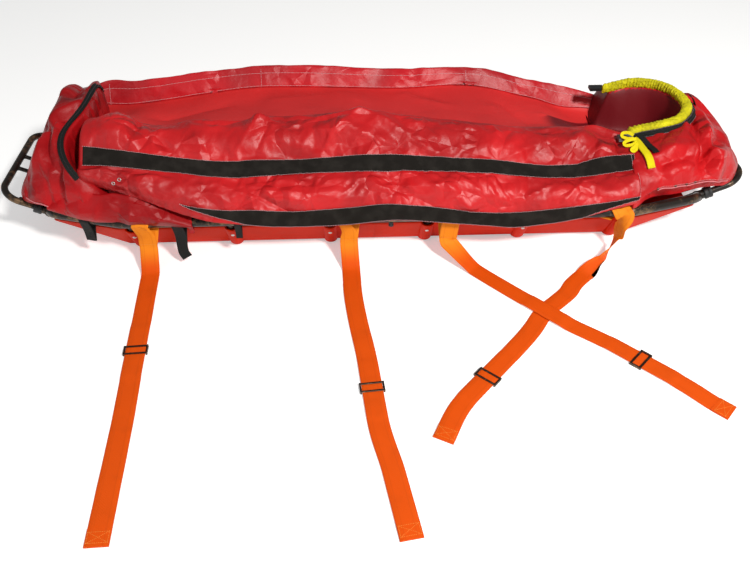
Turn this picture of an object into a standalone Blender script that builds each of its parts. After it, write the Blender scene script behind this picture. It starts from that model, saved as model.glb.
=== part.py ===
# Mountain rescue stretcher: a two-part tube frame in a moulded shell, with a
# casualty bag, four webbing straps and telescoping carrying loops.
# Metres. +X towards the head, +Y away from the strap side, +Z up.
# The origin is on the ground under the middle of the shell.

import bpy
import bmesh
import math
import numpy as np
from mathutils import Matrix, Vector

# General fit between pieces that touch
FIT = 0.0003

# Side rails
RAIL_R = 0.014
RAIL_Z = 0.137
RAIL_INSET = 0.0029
RAIL_TAPER_X = 0.70
RAIL_BEND_X = 0.895
RAIL_BEND_IN = 0.055
RAIL_WELD_X = 0.925
RAIL_FILLET = 0.05

# Joint between the two halves
SEAM_X = -0.012
SEAM_GAP = 0.0006
SPIGOT_R = 0.0106
SPIGOT_HALF = 0.07
SPIGOT_END_GAP = 0.0006
PIN_R = 0.0035
PIN_OFFSET = 0.045
PIN_TIP_RISE = 0.008
KNOB_R = 0.0075
KNOB_LENGTH = 0.015
KNOB_GROOVE = 0.0015
RIVET_OFFSET = 0.033
RIVET_HEAD_R = 0.0055
RIVET_HEAD = 0.002

# Shell
SHELL_WALL = 0.004
SHELL_FLOOR_HALF = 0.196
SHELL_TOP_Z = 0.105
SHELL_FLARE = 0.648
SHELL_CORNER_R = 0.035
SHELL_KICK_X = 0.715
SHELL_TIP_X = 0.905
SHELL_TIP_Z = 0.085
RIB_PITCH = 0.272
RIB_COUNT = 3
RIB_HALF = 0.018
RIB_PROUD = 0.012
SHELL_RIVET_Z = 0.078
SHELL_RIVET_R = 0.0024
SHELL_RIVET_HEAD_R = 0.0055
SHELL_RIVET_HEAD = 0.0022
SHELL_RIVET_LENGTH = 0.0095

# Hoops under the casualty
HOOP_R = 0.009
HOOP_BEND_R = 0.05

# Carrying loops and the sleeves that they slide in
LEG_IN = 0.019
LEG_R = 0.0095
LEG_INNER_X = 0.80
LOOP_END_X = 1.048
LOOP_BEND_R = 0.055
SLEEVE_R = 0.0135
SLEEVE_INNER_X = 0.765
SLEEVE_MOUTH_X = 0.958
END_BAR_X = 0.785
END_BAR_R = 0.0085
BRACE_X = 0.978
BRACE_LEG_X = 1.003
BRACE_IN = 0.029
BRACE_R = 0.0075
RUNG_Y = 0.032
RUNG_R = 0.006
COLLAR_R = 0.0172
COLLAR_LENGTH = 0.022
COLLAR_LIP = 0.003

# Mattress
PAD_HALF_X = 0.69
PAD_HALF_Y = 0.16
PAD_TOP_Z = 0.074
PAD_EDGE = 0.014

# Casualty bag
BAG_FOOT_X = -0.75
BAG_HEAD_X = 0.70
BAG_GAP = 0.0006
BAG_HOOP_GAP = 0.005
BAG_RAIL_ROOM = 0.028
BAG_RAIL_GAP = 0.0035
BAG_LEDGE = 0.004
RIDGE_HIGH = 0.349
HEM_HIGH = 0.137
BAND_HIGH = 0.317
BAND_DEEP = 0.05
BAND_TURN_HIGH = 0.2
BAND_TURN_IN = 0.014
RIDGE_THICK = 0.03
PANEL_SAG = 0.012
RIDGE_Y = -0.085
HEM_OUT = 0.02
HEM_LEAN = math.radians(15)
HEM_THICK = 0.012
FLAP_THICK = 0.055
FLAP_BULGE = 0.02
BAND_IN = 0.03
BAND_LEAN = 0.032
POCKET_END_X = 0.985
POCKET_OUT = 0.001
POCKET_HIGH = 0.352
COVER_END_X = 1.06
COVER_IN = 0.002
COVER_HIGH = 0.302
HOOD_X = 0.705
HOOD_Y = 0.02
HOOD_Z = 0.298
HOOD_HALF_X = 0.205
HOOD_HALF_Y = 0.115
HOOD_DEEP = 0.128
HOOD_TURN = math.radians(18)

# Loop tapes on the near flap
TAPE_WIDTH = 0.05
TAPE_THICK = 0.0014
TAPE_GAP = 0.0007
TAPE_MARGIN = 0.0015
TAPE_PITCH = 0.09

# Collar of the hood
NECK_START_X = 0.715
NECK_REACH = 0.215
NECK_MIDDLE_Y = 0.026
NECK_SPREAD_Y = 0.16
NECK_HALF_WIDE = 0.017
NECK_HALF_HIGH = 0.012
NECK_RISE = 0.009
ZIP_HALF_WIDE = 0.005
ZIP_HALF_HIGH = 0.003
ZIP_OFFSET = 0.024
PULL_WIDTH = 0.018
PULL_THICK = 0.0016
BLACK_PULL_X = 0.765
YELLOW_PULL_X = 0.735
PULL_TOP_IN = 0.092
BLACK_PULL_LOW_IN = 0.047
YELLOW_PULL_LOW_IN = 0.03

# Side release buckles of the hood
BUCKLE_LENGTH = 0.03
BUCKLE_WIDTH = 0.026
BUCKLE_HEIGHT = 0.009
BUCKLE_WALL = 0.0022
PRONG_LENGTH = 0.022
TAB_LENGTH = 0.012

# Straps of 50 mm webbing
WEB_WIDTH = 0.05
WEB_THICK = 0.002
EYE_SEWN_Z = 0.078
EYE_OUT = 0.004
EYE_LAP = 0.012
STRAP_STEP = 0.03
STRAP_BEND_R = 0.025
CROSSING_HALF = 0.05
HANG_WIDTH = 0.03
HANG_X = -0.545
HANG_END_Z = 0.025

# Three-bar slides
SLIDE_CORE = 0.0024
SLIDE_FRAME = 0.003
SLIDE_SIDE = 0.004
SLIDE_LENGTH = 0.031
SLIDE_BAR = 0.0055
SLIDE_SET_BACK = 0.0006
SLIDE_ROUND = 0.0008
SLIDE_TRAVEL = 0.05

# Where the straps lie: the eye's place along the rail, then the first touch of the
# ground, the slide and the free end, each as (x, distance out from the rail)
STRAPS = {
    "strap_1": (-0.638, (-0.634, 0.055), (-0.618, 0.353), (-0.592, 0.891)),
    "strap_2": (-0.084, (-0.080, 0.055), (-0.038, 0.499), (0.026, 0.899)),
    "strap_3": (0.193, (0.262, 0.070), (0.621, 0.435), (0.780, 0.609)),
    "strap_4": (0.640, (0.620, 0.055), (0.239, 0.476), (0.113, 0.660)),
}

# Lines of the bag, as (share of its length from the middle, share of the height)
RIDGE_LINE = [
    (-1.0, 1.037), (-0.94, 1.04), (-0.87, 0.957), (-0.43, 0.955), (-0.07, 1.0),
    (0.27, 0.917), (0.51, 0.851), (0.72, 0.834), (0.86, 0.825), (0.94, 0.77),
]
HEM_LINE = [
    (-1.0, 1.42), (-0.83, 1.38), (-0.67, 1.15), (-0.4, 1.0), (0.04, 1.065),
    (0.42, 0.87), (0.55, 0.87), (0.75, 1.11), (0.94, 1.2),
]
BAND_LINE = [
    (-1.0, 0.874), (-0.67, 0.968), (-0.52, 1.0), (0.12, 0.95),
    (0.48, 0.934), (0.65, 0.82), (0.79, 0.757), (0.94, 0.70),
]

# Shapes of the bag's two ends, as (share of the way to the tip, half width, height)
POCKET_LINE = [(0, 1.0, 0.952), (0.43, 0.908, 1.0), (0.72, 0.814, 0.952), (0.91, 0.695, 0.753), (1, 0.576, 0.568)]
COVER_LINE = [
    (0, 1.0, 0.90), (0.28, 0.925, 0.993), (0.42, 0.89, 1.0), (0.56, 0.83, 1.0), (0.72, 0.745, 0.944),
    (0.83, 0.668, 0.86), (0.94, 0.531, 0.755), (1, 0.411, 0.679),
]
ARCH_POWER = 0.6

# The flaps where they pass over a rail, in rail radii: outwards from its middle,
# above its top, and at least above the hem
RAIL_COVER = [(1.3, -0.3, 0.2), (0.57, 0.29, 0.5), (-1.3, 0.64, 0.8)]

# The hood's collar in plan, as (share of its reach, share of its spread)
NECK_LINE = [
    (0, -0.988), (0.186, -0.994), (0.442, -1.025), (0.767, -0.85), (1, -0.35),
    (1, 0.213), (0.79, 0.713), (0.442, 0.95), (0.186, 0.988), (0, 0.994),
]

# Sides of the round pieces
RAIL_SIDES = 12
HOOP_SIDES = 8
LOOP_SIDES = 10
SMALL_SIDES = 8

SLOPE = math.atan2(SHELL_TIP_Z, SHELL_TIP_X - SHELL_KICK_X)
SLEEVE_LIFT = (SHELL_WALL + FIT + SLEEVE_R) / math.cos(SLOPE)
SIDE_NORMAL = Vector((0.0, 1.0, -SHELL_FLARE)).normalized()
STRAP_LIFT = SLIDE_CORE + FIT

# The hoops follow the shell's sides up to the rails, inside the ribs
HOOP_LOW_Z = SHELL_WALL + FIT + HOOP_R
HOOP_TOP_Z = HOOP_LOW_Z + HOOP_R
HOOP_INSET = (HOOP_R + SHELL_WALL + 2 * FIT - RIB_PROUD) / SIDE_NORMAL.y
HOOP_CORNER_Y = SHELL_FLOOR_HALF + SHELL_FLARE * HOOP_LOW_Z - HOOP_INSET
RAIL_Y = HOOP_CORNER_Y + SHELL_FLARE * (RAIL_Z - HOOP_LOW_Z) - RAIL_INSET
RAIL_OUT_Y = RAIL_Y + RAIL_R
RAIL_TOP_Z = RAIL_Z + RAIL_R
RAIL_BEND_Y = RAIL_Y - RAIL_BEND_IN
LEG_Y = SHELL_FLOOR_HALF - LEG_IN
BRACE_HALF = LEG_Y - BRACE_IN
HEM_Y = RAIL_OUT_Y + HEM_OUT
BAND_Y = RAIL_Y - BAND_IN
POCKET_HALF = RAIL_OUT_Y + POCKET_OUT
COVER_HALF = RAIL_OUT_Y - COVER_IN


def clear_scene():
    for obj in list(bpy.data.objects):
        bpy.data.objects.remove(obj, do_unlink=True)


def finish(name, colour, roughness, metallic=0.0):
    mat = bpy.data.materials.new(name)
    mat.use_nodes = True
    shader = mat.node_tree.nodes["Principled BSDF"]
    shader.inputs["Base Color"].default_value = (*colour, 1.0)
    shader.inputs["Roughness"].default_value = roughness
    shader.inputs["Metallic"].default_value = metallic
    return mat


def solid(name, verts, faces, mat):
    mesh = bpy.data.meshes.new(name)
    bm = bmesh.new()
    points = [bm.verts.new(v) for v in verts]
    for face in faces:
        bm.faces.new([points[i] for i in face])
    bmesh.ops.recalc_face_normals(bm, faces=bm.faces)
    bm.to_mesh(mesh)
    bm.free()
    mesh.materials.append(mat)
    obj = bpy.data.objects.new(name, mesh)
    bpy.context.scene.collection.objects.link(obj)
    return obj


def smooth(obj, degrees=40):
    obj.data.shade_smooth()
    obj.data.set_sharp_from_angle(angle=math.radians(degrees))
    return obj


def as_cutter(obj):
    obj.hide_render = True
    obj.display_type = "WIRE"
    return obj


def combine(obj, others, operation):
    # joins or cuts with every helper in one modifier
    group = bpy.data.collections.new(obj.name + "_" + operation.lower())
    bpy.context.scene.collection.children.link(group)
    for other in others:
        bpy.context.scene.collection.objects.unlink(other)
        group.objects.link(as_cutter(other))
    mod = obj.modifiers.new(operation.title(), "BOOLEAN")
    mod.operation = operation
    mod.solver = "EXACT"
    mod.operand_type = "COLLECTION"
    mod.collection = group
    return obj


def set_origin(obj, point):
    # a moving piece has its origin on its joint axis
    obj.data.transform(Matrix.Translation(-Vector(point)))
    obj.location = point
    return obj


def bored(radius, sides, clearance=FIT):
    # radius of a faceted bore that clears a round piece
    return (radius + clearance) / math.cos(math.pi / sides)


def rounded_path(corners, radius, steps):
    # a polyline with each inner corner replaced by an arc
    corners = [Vector(c) for c in corners]
    path = [corners[0]]
    for before, corner, after in zip(corners, corners[1:], corners[2:]):
        way_in = (before - corner).normalized()
        way_out = (after - corner).normalized()
        half = way_in.angle(way_out) / 2
        reach = min(radius / math.tan(half), 0.49 * (before - corner).length, 0.49 * (after - corner).length)
        true_radius = reach * math.tan(half)
        middle = corner + (way_in + way_out).normalized() * (true_radius / math.sin(half))
        start = corner + way_in * reach - middle
        turn = math.pi - 2 * half
        axis = start.cross(corner + way_out * reach - middle).normalized()
        for i in range(steps + 1):
            path.append(middle + Matrix.Rotation(turn * i / steps, 3, axis) @ start)
    path.append(corners[-1])
    return path


def frames_along(path):
    # tangent and two crosswise directions at each point, without twist
    tangents = []
    for i in range(len(path)):
        ahead = (path[i + 1] - path[i]).normalized() if i + 1 < len(path) else Vector()
        behind = (path[i] - path[i - 1]).normalized() if i else Vector()
        tangents.append((ahead + behind).normalized())
    first = tangents[0]
    side = Vector((0, 0, 1)).cross(first)
    if side.length < 0.1:
        side = Vector((1, 0, 0)).cross(first)
    side.normalize()
    frames = []
    for tangent in tangents:
        side = (side - tangent * side.dot(tangent)).normalized()
        frames.append((tangent, side, tangent.cross(side)))
    return frames


def sweep(path, outline):
    # closed solid of one outline carried along a path; the rings are mitred
    frames = frames_along(path)
    count = len(outline)
    verts = []
    for i, (point, (tangent, side, up)) in enumerate(zip(path, frames)):
        stretch = 1.0
        bend = Vector()
        if 0 < i < len(path) - 1:
            ahead = (path[i + 1] - point).normalized()
            behind = (point - path[i - 1]).normalized()
            stretch = 1.0 / max(ahead.dot(tangent), 0.5)
            bend = ahead - behind
        for a, b in outline:
            offset = side * a + up * b
            if bend.length > 1e-6:
                inward = bend.normalized()
                offset += inward * (offset.dot(inward) * (stretch - 1.0))
            verts.append(point + offset)
    faces = [tuple(range(count)), tuple(range((len(path) - 1) * count, len(path) * count))]
    for i in range(len(path) - 1):
        for j in range(count):
            k = (j + 1) % count
            faces.append((i * count + j, i * count + k, (i + 1) * count + k, (i + 1) * count + j))
    return verts, faces


def circle(radius, sides, other=None):
    other = radius if other is None else other
    turns = [2 * math.pi * (i + 0.5) / sides for i in range(sides)]
    return [(radius * math.cos(a), other * math.sin(a)) for a in turns]


def tube(name, path, radius, sides, mat):
    path = [Vector(p) for p in path]
    verts, faces = sweep(path, circle(radius, sides))
    return smooth(solid(name, verts, faces, mat))


def loft(name, sections, mat):
    # closed solid through outlines that have the same number of points
    count = len(sections[0])
    verts = [Vector(p) for section in sections for p in section]
    last = (len(sections) - 1) * count
    faces = [tuple(range(count)), tuple(range(last, last + count))]
    for i in range(len(sections) - 1):
        for j in range(count):
            k = (j + 1) % count
            faces += split_quad(verts, (i * count + j, i * count + k, (i + 1) * count + k, (i + 1) * count + j))
    return solid(name, verts, faces, mat)


def split_quad(verts, quad):
    # along the shorter diagonal, so that two surfaces side by side split alike
    a, b, c, d = quad
    if (verts[a] - verts[c]).length < (verts[b] - verts[d]).length:
        return [(a, b, c), (a, c, d)]
    return [(a, b, d), (b, c, d)]


def turned(name, profile, sides, start, direction, mat):
    # profile of (radius, distance) from pole to pole, or a closed ring
    turn = Vector((0, 0, 1)).rotation_difference(Vector(direction)).to_matrix()
    ring = profile[0][0] > 0
    verts = []
    rows = []
    for radius, along in profile:
        row = []
        for i in range(sides if radius > 0 else 1):
            a = 2 * math.pi * (i + 0.5) / sides
            row.append(len(verts))
            verts.append(Vector(start) + turn @ Vector((radius * math.cos(a), radius * math.sin(a), along)))
        rows.append(row)
    if ring:
        rows.append(rows[0])
    faces = []
    for lower, upper in zip(rows, rows[1:]):
        for i in range(sides):
            k = (i + 1) % sides
            quad = (lower[i % len(lower)], lower[k % len(lower)], upper[k % len(upper)], upper[i % len(upper)])
            faces.append(tuple(dict.fromkeys(quad)))
    return smooth(solid(name, verts, faces, mat))


def box(name, low, high, mat, matrix=None):
    corners = [Vector((x, y, z)) for x in (low[0], high[0]) for y in (low[1], high[1]) for z in (low[2], high[2])]
    if matrix is not None:
        corners = [matrix @ c for c in corners]
    faces = [(0, 1, 3, 2), (4, 6, 7, 5), (0, 4, 5, 1), (2, 3, 7, 6), (0, 2, 6, 4), (1, 5, 7, 3)]
    return solid(name, corners, faces, mat)


def bevel(obj, width, segments=2):
    mod = obj.modifiers.new("Bevel", "BEVEL")
    mod.width = width
    mod.segments = segments
    mod.limit_method = "ANGLE"
    mod.angle_limit = math.radians(40)
    return obj


def slope_z(x):
    # height of the carrying loop's axis plane
    return math.tan(SLOPE) * (abs(x) - SHELL_KICK_X) + SLEEVE_LIFT


def on_slope(end, x, y):
    return Vector((end * x, y, slope_z(x)))


def slope_direction(end):
    return Vector((end * math.cos(SLOPE), 0.0, math.sin(SLOPE)))


def hoop_stations(end):
    return [end * RIB_PITCH * (i + 0.5) for i in range(RIB_COUNT)]


def side_y(z):
    return SHELL_FLOOR_HALF + SHELL_FLARE * z


def rail_path(end, side):
    seam = SEAM_X + end * SEAM_GAP / 2
    corners = [
        (seam, side * RAIL_Y, RAIL_Z),
        (end * RAIL_TAPER_X, side * RAIL_Y, RAIL_Z),
        (end * RAIL_BEND_X, side * RAIL_BEND_Y, RAIL_Z),
        on_slope(end, RAIL_WELD_X, side * LEG_Y),
    ]
    return rounded_path(corners, RAIL_FILLET, 3)


def hoop_path(x):
    low = HOOP_LOW_Z
    corners = [(x, -RAIL_Y, RAIL_Z), (x, -HOOP_CORNER_Y, low), (x, HOOP_CORNER_Y, low), (x, RAIL_Y, RAIL_Z)]
    return rounded_path(corners, HOOP_BEND_R, 4)


def rivet_seat(x, side):
    # middle of a rib's crest, and the way out of the shell
    out = Vector((0, side * SIDE_NORMAL.y, SIDE_NORMAL.z))
    crest = Vector((x, side * side_y(SHELL_RIVET_Z), SHELL_RIVET_Z)) + out * RIB_PROUD
    return crest, out


def rivet_holes(label, end):
    holes = []
    radius = bored(SHELL_RIVET_R, SMALL_SIDES)
    for i, x in enumerate(hoop_stations(end)):
        for side in (-1, 1):
            crest, out = rivet_seat(x, side)
            path = [crest + out * RIB_PROUD, crest - out * (SHELL_RIVET_LENGTH + FIT)]
            holes.append(tube(f"{label}_rivet_hole_{i}_{side}", path, radius, SMALL_SIDES, None))
    return holes


def half_frame(label, end, mat):
    parts = [tube(f"{label}_rail_{side}", rail_path(end, side), RAIL_R, RAIL_SIDES, mat) for side in (-1, 1)]
    for i, x in enumerate(hoop_stations(end)):
        parts.append(tube(f"{label}_hoop_{i}", hoop_path(x), HOOP_R, HOOP_SIDES, mat))
    cuts = rivet_holes(f"{label}_frame", end)
    for side in (-1, 1):
        ends = [on_slope(end, SLEEVE_INNER_X, side * LEG_Y), on_slope(end, SLEEVE_MOUTH_X, side * LEG_Y)]
        parts.append(tube(f"{label}_sleeve_{side}", ends, SLEEVE_R, RAIL_SIDES, mat))
        reach = slope_direction(end) * SLEEVE_R
        bore = bored(LEG_R, RAIL_SIDES)
        cuts.append(tube(f"{label}_bore_{side}", [ends[0] - reach, ends[1] + reach], bore, RAIL_SIDES, mat))
        socket = [
            (SEAM_X - end * RAIL_R, side * RAIL_Y, RAIL_Z),
            (SEAM_X + end * (SPIGOT_HALF + SPIGOT_END_GAP), side * RAIL_Y, RAIL_Z),
        ]
        cuts.append(tube(f"{label}_socket_{side}", socket, bored(SPIGOT_R, RAIL_SIDES), RAIL_SIDES, mat))
        cuts.append(lock_hole(f"{label}_lock_hole_{side}", end, side))
    bar = [on_slope(end, END_BAR_X, -LEG_Y), on_slope(end, END_BAR_X, LEG_Y)]
    parts.append(tube(f"{label}_end_bar", bar, END_BAR_R, HOOP_SIDES, mat))
    body = parts[0]
    body.name = f"{label}_half_frame"
    combine(body, parts[1:], "UNION")
    return combine(body, cuts, "DIFFERENCE")


def lock_x(end):
    return SEAM_X + (PIN_OFFSET if end > 0 else -RIVET_OFFSET)


def lock_hole(name, end, side):
    x = lock_x(end)
    path = [(x, side * RAIL_Y, RAIL_Z - 2 * RAIL_R), (x, side * RAIL_Y, RAIL_Z + PIN_TIP_RISE + FIT)]
    return tube(name, path, bored(PIN_R, SMALL_SIDES), SMALL_SIDES, None)


def spigot(name, side, mat):
    ends = [(SEAM_X - SPIGOT_HALF, side * RAIL_Y, RAIL_Z), (SEAM_X + SPIGOT_HALF, side * RAIL_Y, RAIL_Z)]
    body = tube(name, ends, SPIGOT_R, RAIL_SIDES, mat)
    holes = [lock_hole(f"{name}_hole_{end}", end, side) for end in (-1, 1)]
    return combine(body, holes, "DIFFERENCE")


def coupling_pin(name, side, mat):
    # a pin with a grooved knob, drawn down out of the rail
    top = RAIL_Z - RAIL_R - FIT
    knob = top - KNOB_LENGTH
    groove = KNOB_LENGTH * 0.35
    profile = [
        (0, 0),
        (KNOB_R - KNOB_GROOVE, 0),
        (KNOB_R, KNOB_GROOVE),
        (KNOB_R, groove),
        (KNOB_R - KNOB_GROOVE, groove + KNOB_GROOVE),
        (KNOB_R - KNOB_GROOVE, KNOB_LENGTH - 2 * KNOB_GROOVE),
        (KNOB_R, KNOB_LENGTH - KNOB_GROOVE),
        (KNOB_R, KNOB_LENGTH),
        (PIN_R, KNOB_LENGTH),
        (PIN_R, RAIL_Z + PIN_TIP_RISE - knob),
        (0, RAIL_Z + PIN_TIP_RISE - knob),
    ]
    start = Vector((lock_x(1), side * RAIL_Y, knob))
    return set_origin(turned(name, profile, SMALL_SIDES, start, (0, 0, 1), mat), start)


def spigot_rivet(name, side, mat):
    low = RAIL_Z - RAIL_R - FIT - RIVET_HEAD
    profile = [
        (0, 0),
        (RIVET_HEAD_R * 0.7, 0),
        (RIVET_HEAD_R, RIVET_HEAD * 0.6),
        (RIVET_HEAD_R, RIVET_HEAD),
        (PIN_R, RIVET_HEAD),
        (PIN_R, RAIL_Z + PIN_TIP_RISE - low),
        (0, RAIL_Z + PIN_TIP_RISE - low),
    ]
    return turned(name, profile, SMALL_SIDES, (lock_x(-1), side * RAIL_Y, low), (0, 0, 1), mat)


def carrying_loop(label, end, mat):
    corners = [
        on_slope(end, LEG_INNER_X, -LEG_Y),
        on_slope(end, LOOP_END_X, -LEG_Y),
        on_slope(end, LOOP_END_X, LEG_Y),
        on_slope(end, LEG_INNER_X, LEG_Y),
    ]
    body = tube(f"{label}_carrying_loop", rounded_path(corners, LOOP_BEND_R, 5), LEG_R, LOOP_SIDES, mat)
    brace = [
        on_slope(end, BRACE_LEG_X, -LEG_Y),
        on_slope(end, BRACE_X, -BRACE_HALF),
        on_slope(end, BRACE_X, BRACE_HALF),
        on_slope(end, BRACE_LEG_X, LEG_Y),
    ]
    parts = [tube(f"{label}_brace", rounded_path(brace, LEG_R, 2), BRACE_R, HOOP_SIDES, mat)]
    for side in (-1, 1):
        rung = [on_slope(end, BRACE_X, side * RUNG_Y), on_slope(end, LOOP_END_X, side * RUNG_Y)]
        parts.append(tube(f"{label}_rung_{side}", rung, RUNG_R, HOOP_SIDES, mat))
    combine(body, parts, "UNION")
    return set_origin(body, on_slope(end, SLEEVE_MOUTH_X, 0.0))


def sleeve_collar(name, end, side, mat):
    # moulded ring over the sleeve's mouth, with a lip that the leg runs through
    sleeve_bore = bored(SLEEVE_R, RAIL_SIDES)
    lip_bore = bored(LEG_R, RAIL_SIDES, 2 * FIT)
    lip_start = COLLAR_LENGTH - COLLAR_LIP
    profile = [
        (sleeve_bore, 0),
        (COLLAR_R, 0),
        (COLLAR_R, lip_start),
        (COLLAR_R - COLLAR_LIP / 2, COLLAR_LENGTH),
        (lip_bore, COLLAR_LENGTH),
        (lip_bore, lip_start),
        (sleeve_bore, lip_start),
    ]
    along = slope_direction(end)
    start = on_slope(end, SLEEVE_MOUTH_X, side * LEG_Y) - along * (lip_start - FIT)
    return turned(name, profile, RAIL_SIDES, start, along, mat)


def shell_outline(x, end, bulge):
    # half of the shell's outer line, from the middle of the floor to the top edge
    rise = max(0.0, abs(x) - SHELL_KICK_X) * math.tan(SLOPE)
    turn = math.atan2(1.0, SHELL_FLARE)
    reach = SHELL_CORNER_R * math.tan(turn / 2)
    start = SHELL_FLOOR_HALF - reach
    steps = 4
    line = [(0.0, rise)]
    for i in range(steps + 1):
        a = turn * i / steps
        push = bulge * (1 - math.cos(math.pi * i / steps)) / 2
        radius = SHELL_CORNER_R + push
        line.append((start + radius * math.sin(a), rise + max(0.0, SHELL_CORNER_R - radius * math.cos(a))))
    top = SHELL_TOP_Z
    y = SHELL_FLOOR_HALF + SHELL_FLARE * (top - rise)
    line.append((y + bulge * SIDE_NORMAL.y, top + bulge * SIDE_NORMAL.z))
    return line


def shell_stations(end):
    # the way along the shell, with the half-round ribs
    stations = [(SEAM_X + end * SEAM_GAP / 2, 0.0)]
    for x in hoop_stations(end):
        for t in (-1, -0.85, -0.5, 0, 0.5, 0.85, 1):
            stations.append((x + end * RIB_HALF * t, RIB_PROUD * math.sqrt(1 - t * t)))
    stations.append((end * SHELL_KICK_X, 0.0))
    stations.append((end * SHELL_TIP_X, 0.0))
    return stations


def half_shell(label, end, mat):
    rows = []
    for x, bulge in shell_stations(end):
        line = shell_outline(x, end, bulge)
        row = [Vector((x, -y, z)) for y, z in reversed(line)] + [Vector((x, y, z)) for y, z in line[1:]]
        rows.append(row)
    count = len(rows[0])
    verts = [v for row in rows for v in row]
    faces = []
    for i in range(len(rows) - 1):
        for j in range(count - 1):
            quad = (i * count + j, i * count + j + 1, (i + 1) * count + j + 1, (i + 1) * count + j)
            faces.append(quad if end > 0 else quad[::-1])
    mesh = bpy.data.meshes.new(f"{label}_shell")
    mesh.from_pydata([tuple(v) for v in verts], [], faces)
    mesh.materials.append(mat)
    obj = bpy.data.objects.new(f"{label}_shell", mesh)
    bpy.context.scene.collection.objects.link(obj)
    wall = obj.modifiers.new("Wall", "SOLIDIFY")
    wall.thickness = SHELL_WALL
    wall.offset = -1.0
    wall.use_even_offset = True
    smooth(obj, 30)
    return combine(obj, rivet_holes(f"{label}_shell", end), "DIFFERENCE")


def shell_rivet(name, x, side, mat):
    crest, out = rivet_seat(x, side)
    profile = [
        (0, -SHELL_RIVET_LENGTH),
        (SHELL_RIVET_R, -SHELL_RIVET_LENGTH),
        (SHELL_RIVET_R, FIT),
        (SHELL_RIVET_HEAD_R, FIT),
        (SHELL_RIVET_HEAD_R * 0.75, FIT + SHELL_RIVET_HEAD * 0.75),
        (0, FIT + SHELL_RIVET_HEAD),
    ]
    return turned(name, profile, SMALL_SIDES, crest, out, mat)


def mattress(mat):
    low = (-PAD_HALF_X, -PAD_HALF_Y, HOOP_TOP_Z + FIT)
    high = (PAD_HALF_X, PAD_HALF_Y, PAD_TOP_Z)
    return bevel(box("mattress", low, high, mat), PAD_EDGE, 2)


def along(share, table, column=1):
    return float(np.interp(share, [row[0] for row in table], [row[column] for row in table]))


def ridge_z(x):
    return RIDGE_HIGH * along(x / abs(BAG_FOOT_X), RIDGE_LINE)


def near_hem_z(x):
    return HEM_HIGH * along(x / abs(BAG_FOOT_X), HEM_LINE)


def band_top_z(x):
    return BAND_HIGH * along(x / abs(BAG_FOOT_X), BAND_LINE)


def band_foot_z(x):
    return band_top_z(x) - BAND_DEEP


def bag_floor_half():
    # clear of the hoops, which lean out with the shell's sides
    share = (PAD_TOP_Z - HOOP_LOW_Z) / (RAIL_Z - HOOP_LOW_Z)
    return HOOP_CORNER_Y + (RAIL_Y - HOOP_CORNER_Y) * share - HOOP_R / SIDE_NORMAL.y - BAG_HOOP_GAP


def bag_side_half():
    return RAIL_Y - RAIL_R - BAG_RAIL_ROOM


def bag_stations():
    count = 13
    low = BAG_FOOT_X + BAG_GAP / 2
    high = BAG_HEAD_X - BAG_GAP / 2
    return [low + (high - low) * i / (count - 1) for i in range(count)]


def flap_face(x):
    # outer points of the near flap, hem to ridge, as (y, z); the first stretch
    # carries the lower tape and the one from point 3 to point 4 the upper tape
    stretch = TAPE_WIDTH + 2 * TAPE_MARGIN
    hem = Vector((-HEM_Y, near_hem_z(x)))
    start = hem + Vector((math.sin(HEM_LEAN), math.cos(HEM_LEAN))) * stretch
    end = Vector((RIDGE_Y, ridge_z(x)))
    chord = end - start
    out = Vector((-chord.y, chord.x)).normalized()
    first = TAPE_PITCH / chord.length
    shares = [0.0, first / 2, first, first + stretch / chord.length, 0.82, 1.0]
    return [hem] + [start + chord * t + out * (FLAP_BULGE * math.sin(math.pi * t)) for t in shares]


def rail_cover(side, hem):
    # inner points of a flap where it passes over the rail, as (y, z)
    over = RAIL_TOP_Z + BAG_RAIL_GAP
    line = [Vector((side * (HEM_Y - HEM_THICK), hem))]
    for out, up, least in RAIL_COVER:
        line.append(Vector((side * (RAIL_Y + out * RAIL_R), max(over + up * RAIL_R, hem + least * RAIL_R))))
    return line


def near_flap(mat):
    sections = []
    for x in bag_stations():
        face = flap_face(x)
        crest = face[-1]
        back = [
            crest + Vector((RIDGE_THICK * 0.7, -RIDGE_THICK * 0.2)),
            crest + Vector((RIDGE_THICK, -RIDGE_THICK)),
            crest + Vector((0.0, -FLAP_THICK)),
        ]
        inner = list(reversed(rail_cover(-1, near_hem_z(x))))
        sections.append([(x, p.x, p.y) for p in face + back + inner])
    return smooth(loft("near_flap", sections, mat), 50)


def bag_body(mat):
    sections = []
    for x in bag_stations():
        crest = Vector((RIDGE_Y, ridge_z(x)))
        foot = Vector((BAND_Y, band_foot_z(x)))
        near = rail_cover(-1, near_hem_z(x))[3]
        far = rail_cover(1, RAIL_Z - RAIL_R)[3]
        floor = PAD_TOP_Z + FIT
        under = Vector((0.0, -BAG_GAP))
        start = crest + Vector((RIDGE_THICK + BAG_GAP, -RIDGE_THICK - BAG_GAP))
        line = [
            Vector((-bag_floor_half(), floor)),
            Vector((-bag_side_half(), RAIL_TOP_Z)),
            near + Vector((BAG_GAP, -BAG_LEDGE)),
            near + Vector((BAG_GAP, -BAG_GAP)),
            crest + Vector((BAG_GAP, -FLAP_THICK - 2 * BAG_GAP)),
            start,
            start.lerp(foot, 0.35) + Vector((0.0, -PANEL_SAG)),
            start.lerp(foot, 0.75) + Vector((0.0, -PANEL_SAG)),
            foot + Vector((-BAG_GAP, 0.0)) + under,
            far + Vector((-BAG_GAP, -BAG_GAP)),
            far + Vector((-BAG_GAP, -BAG_LEDGE)),
            Vector((bag_side_half(), RAIL_TOP_Z)),
            Vector((bag_floor_half(), floor)),
        ]
        sections.append([(x, p.x, p.y) for p in line])
    body = smooth(loft("bag_body", sections, mat), 50)
    return combine(body, [hood_hollow("body_hollow")], "DIFFERENCE")


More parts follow.
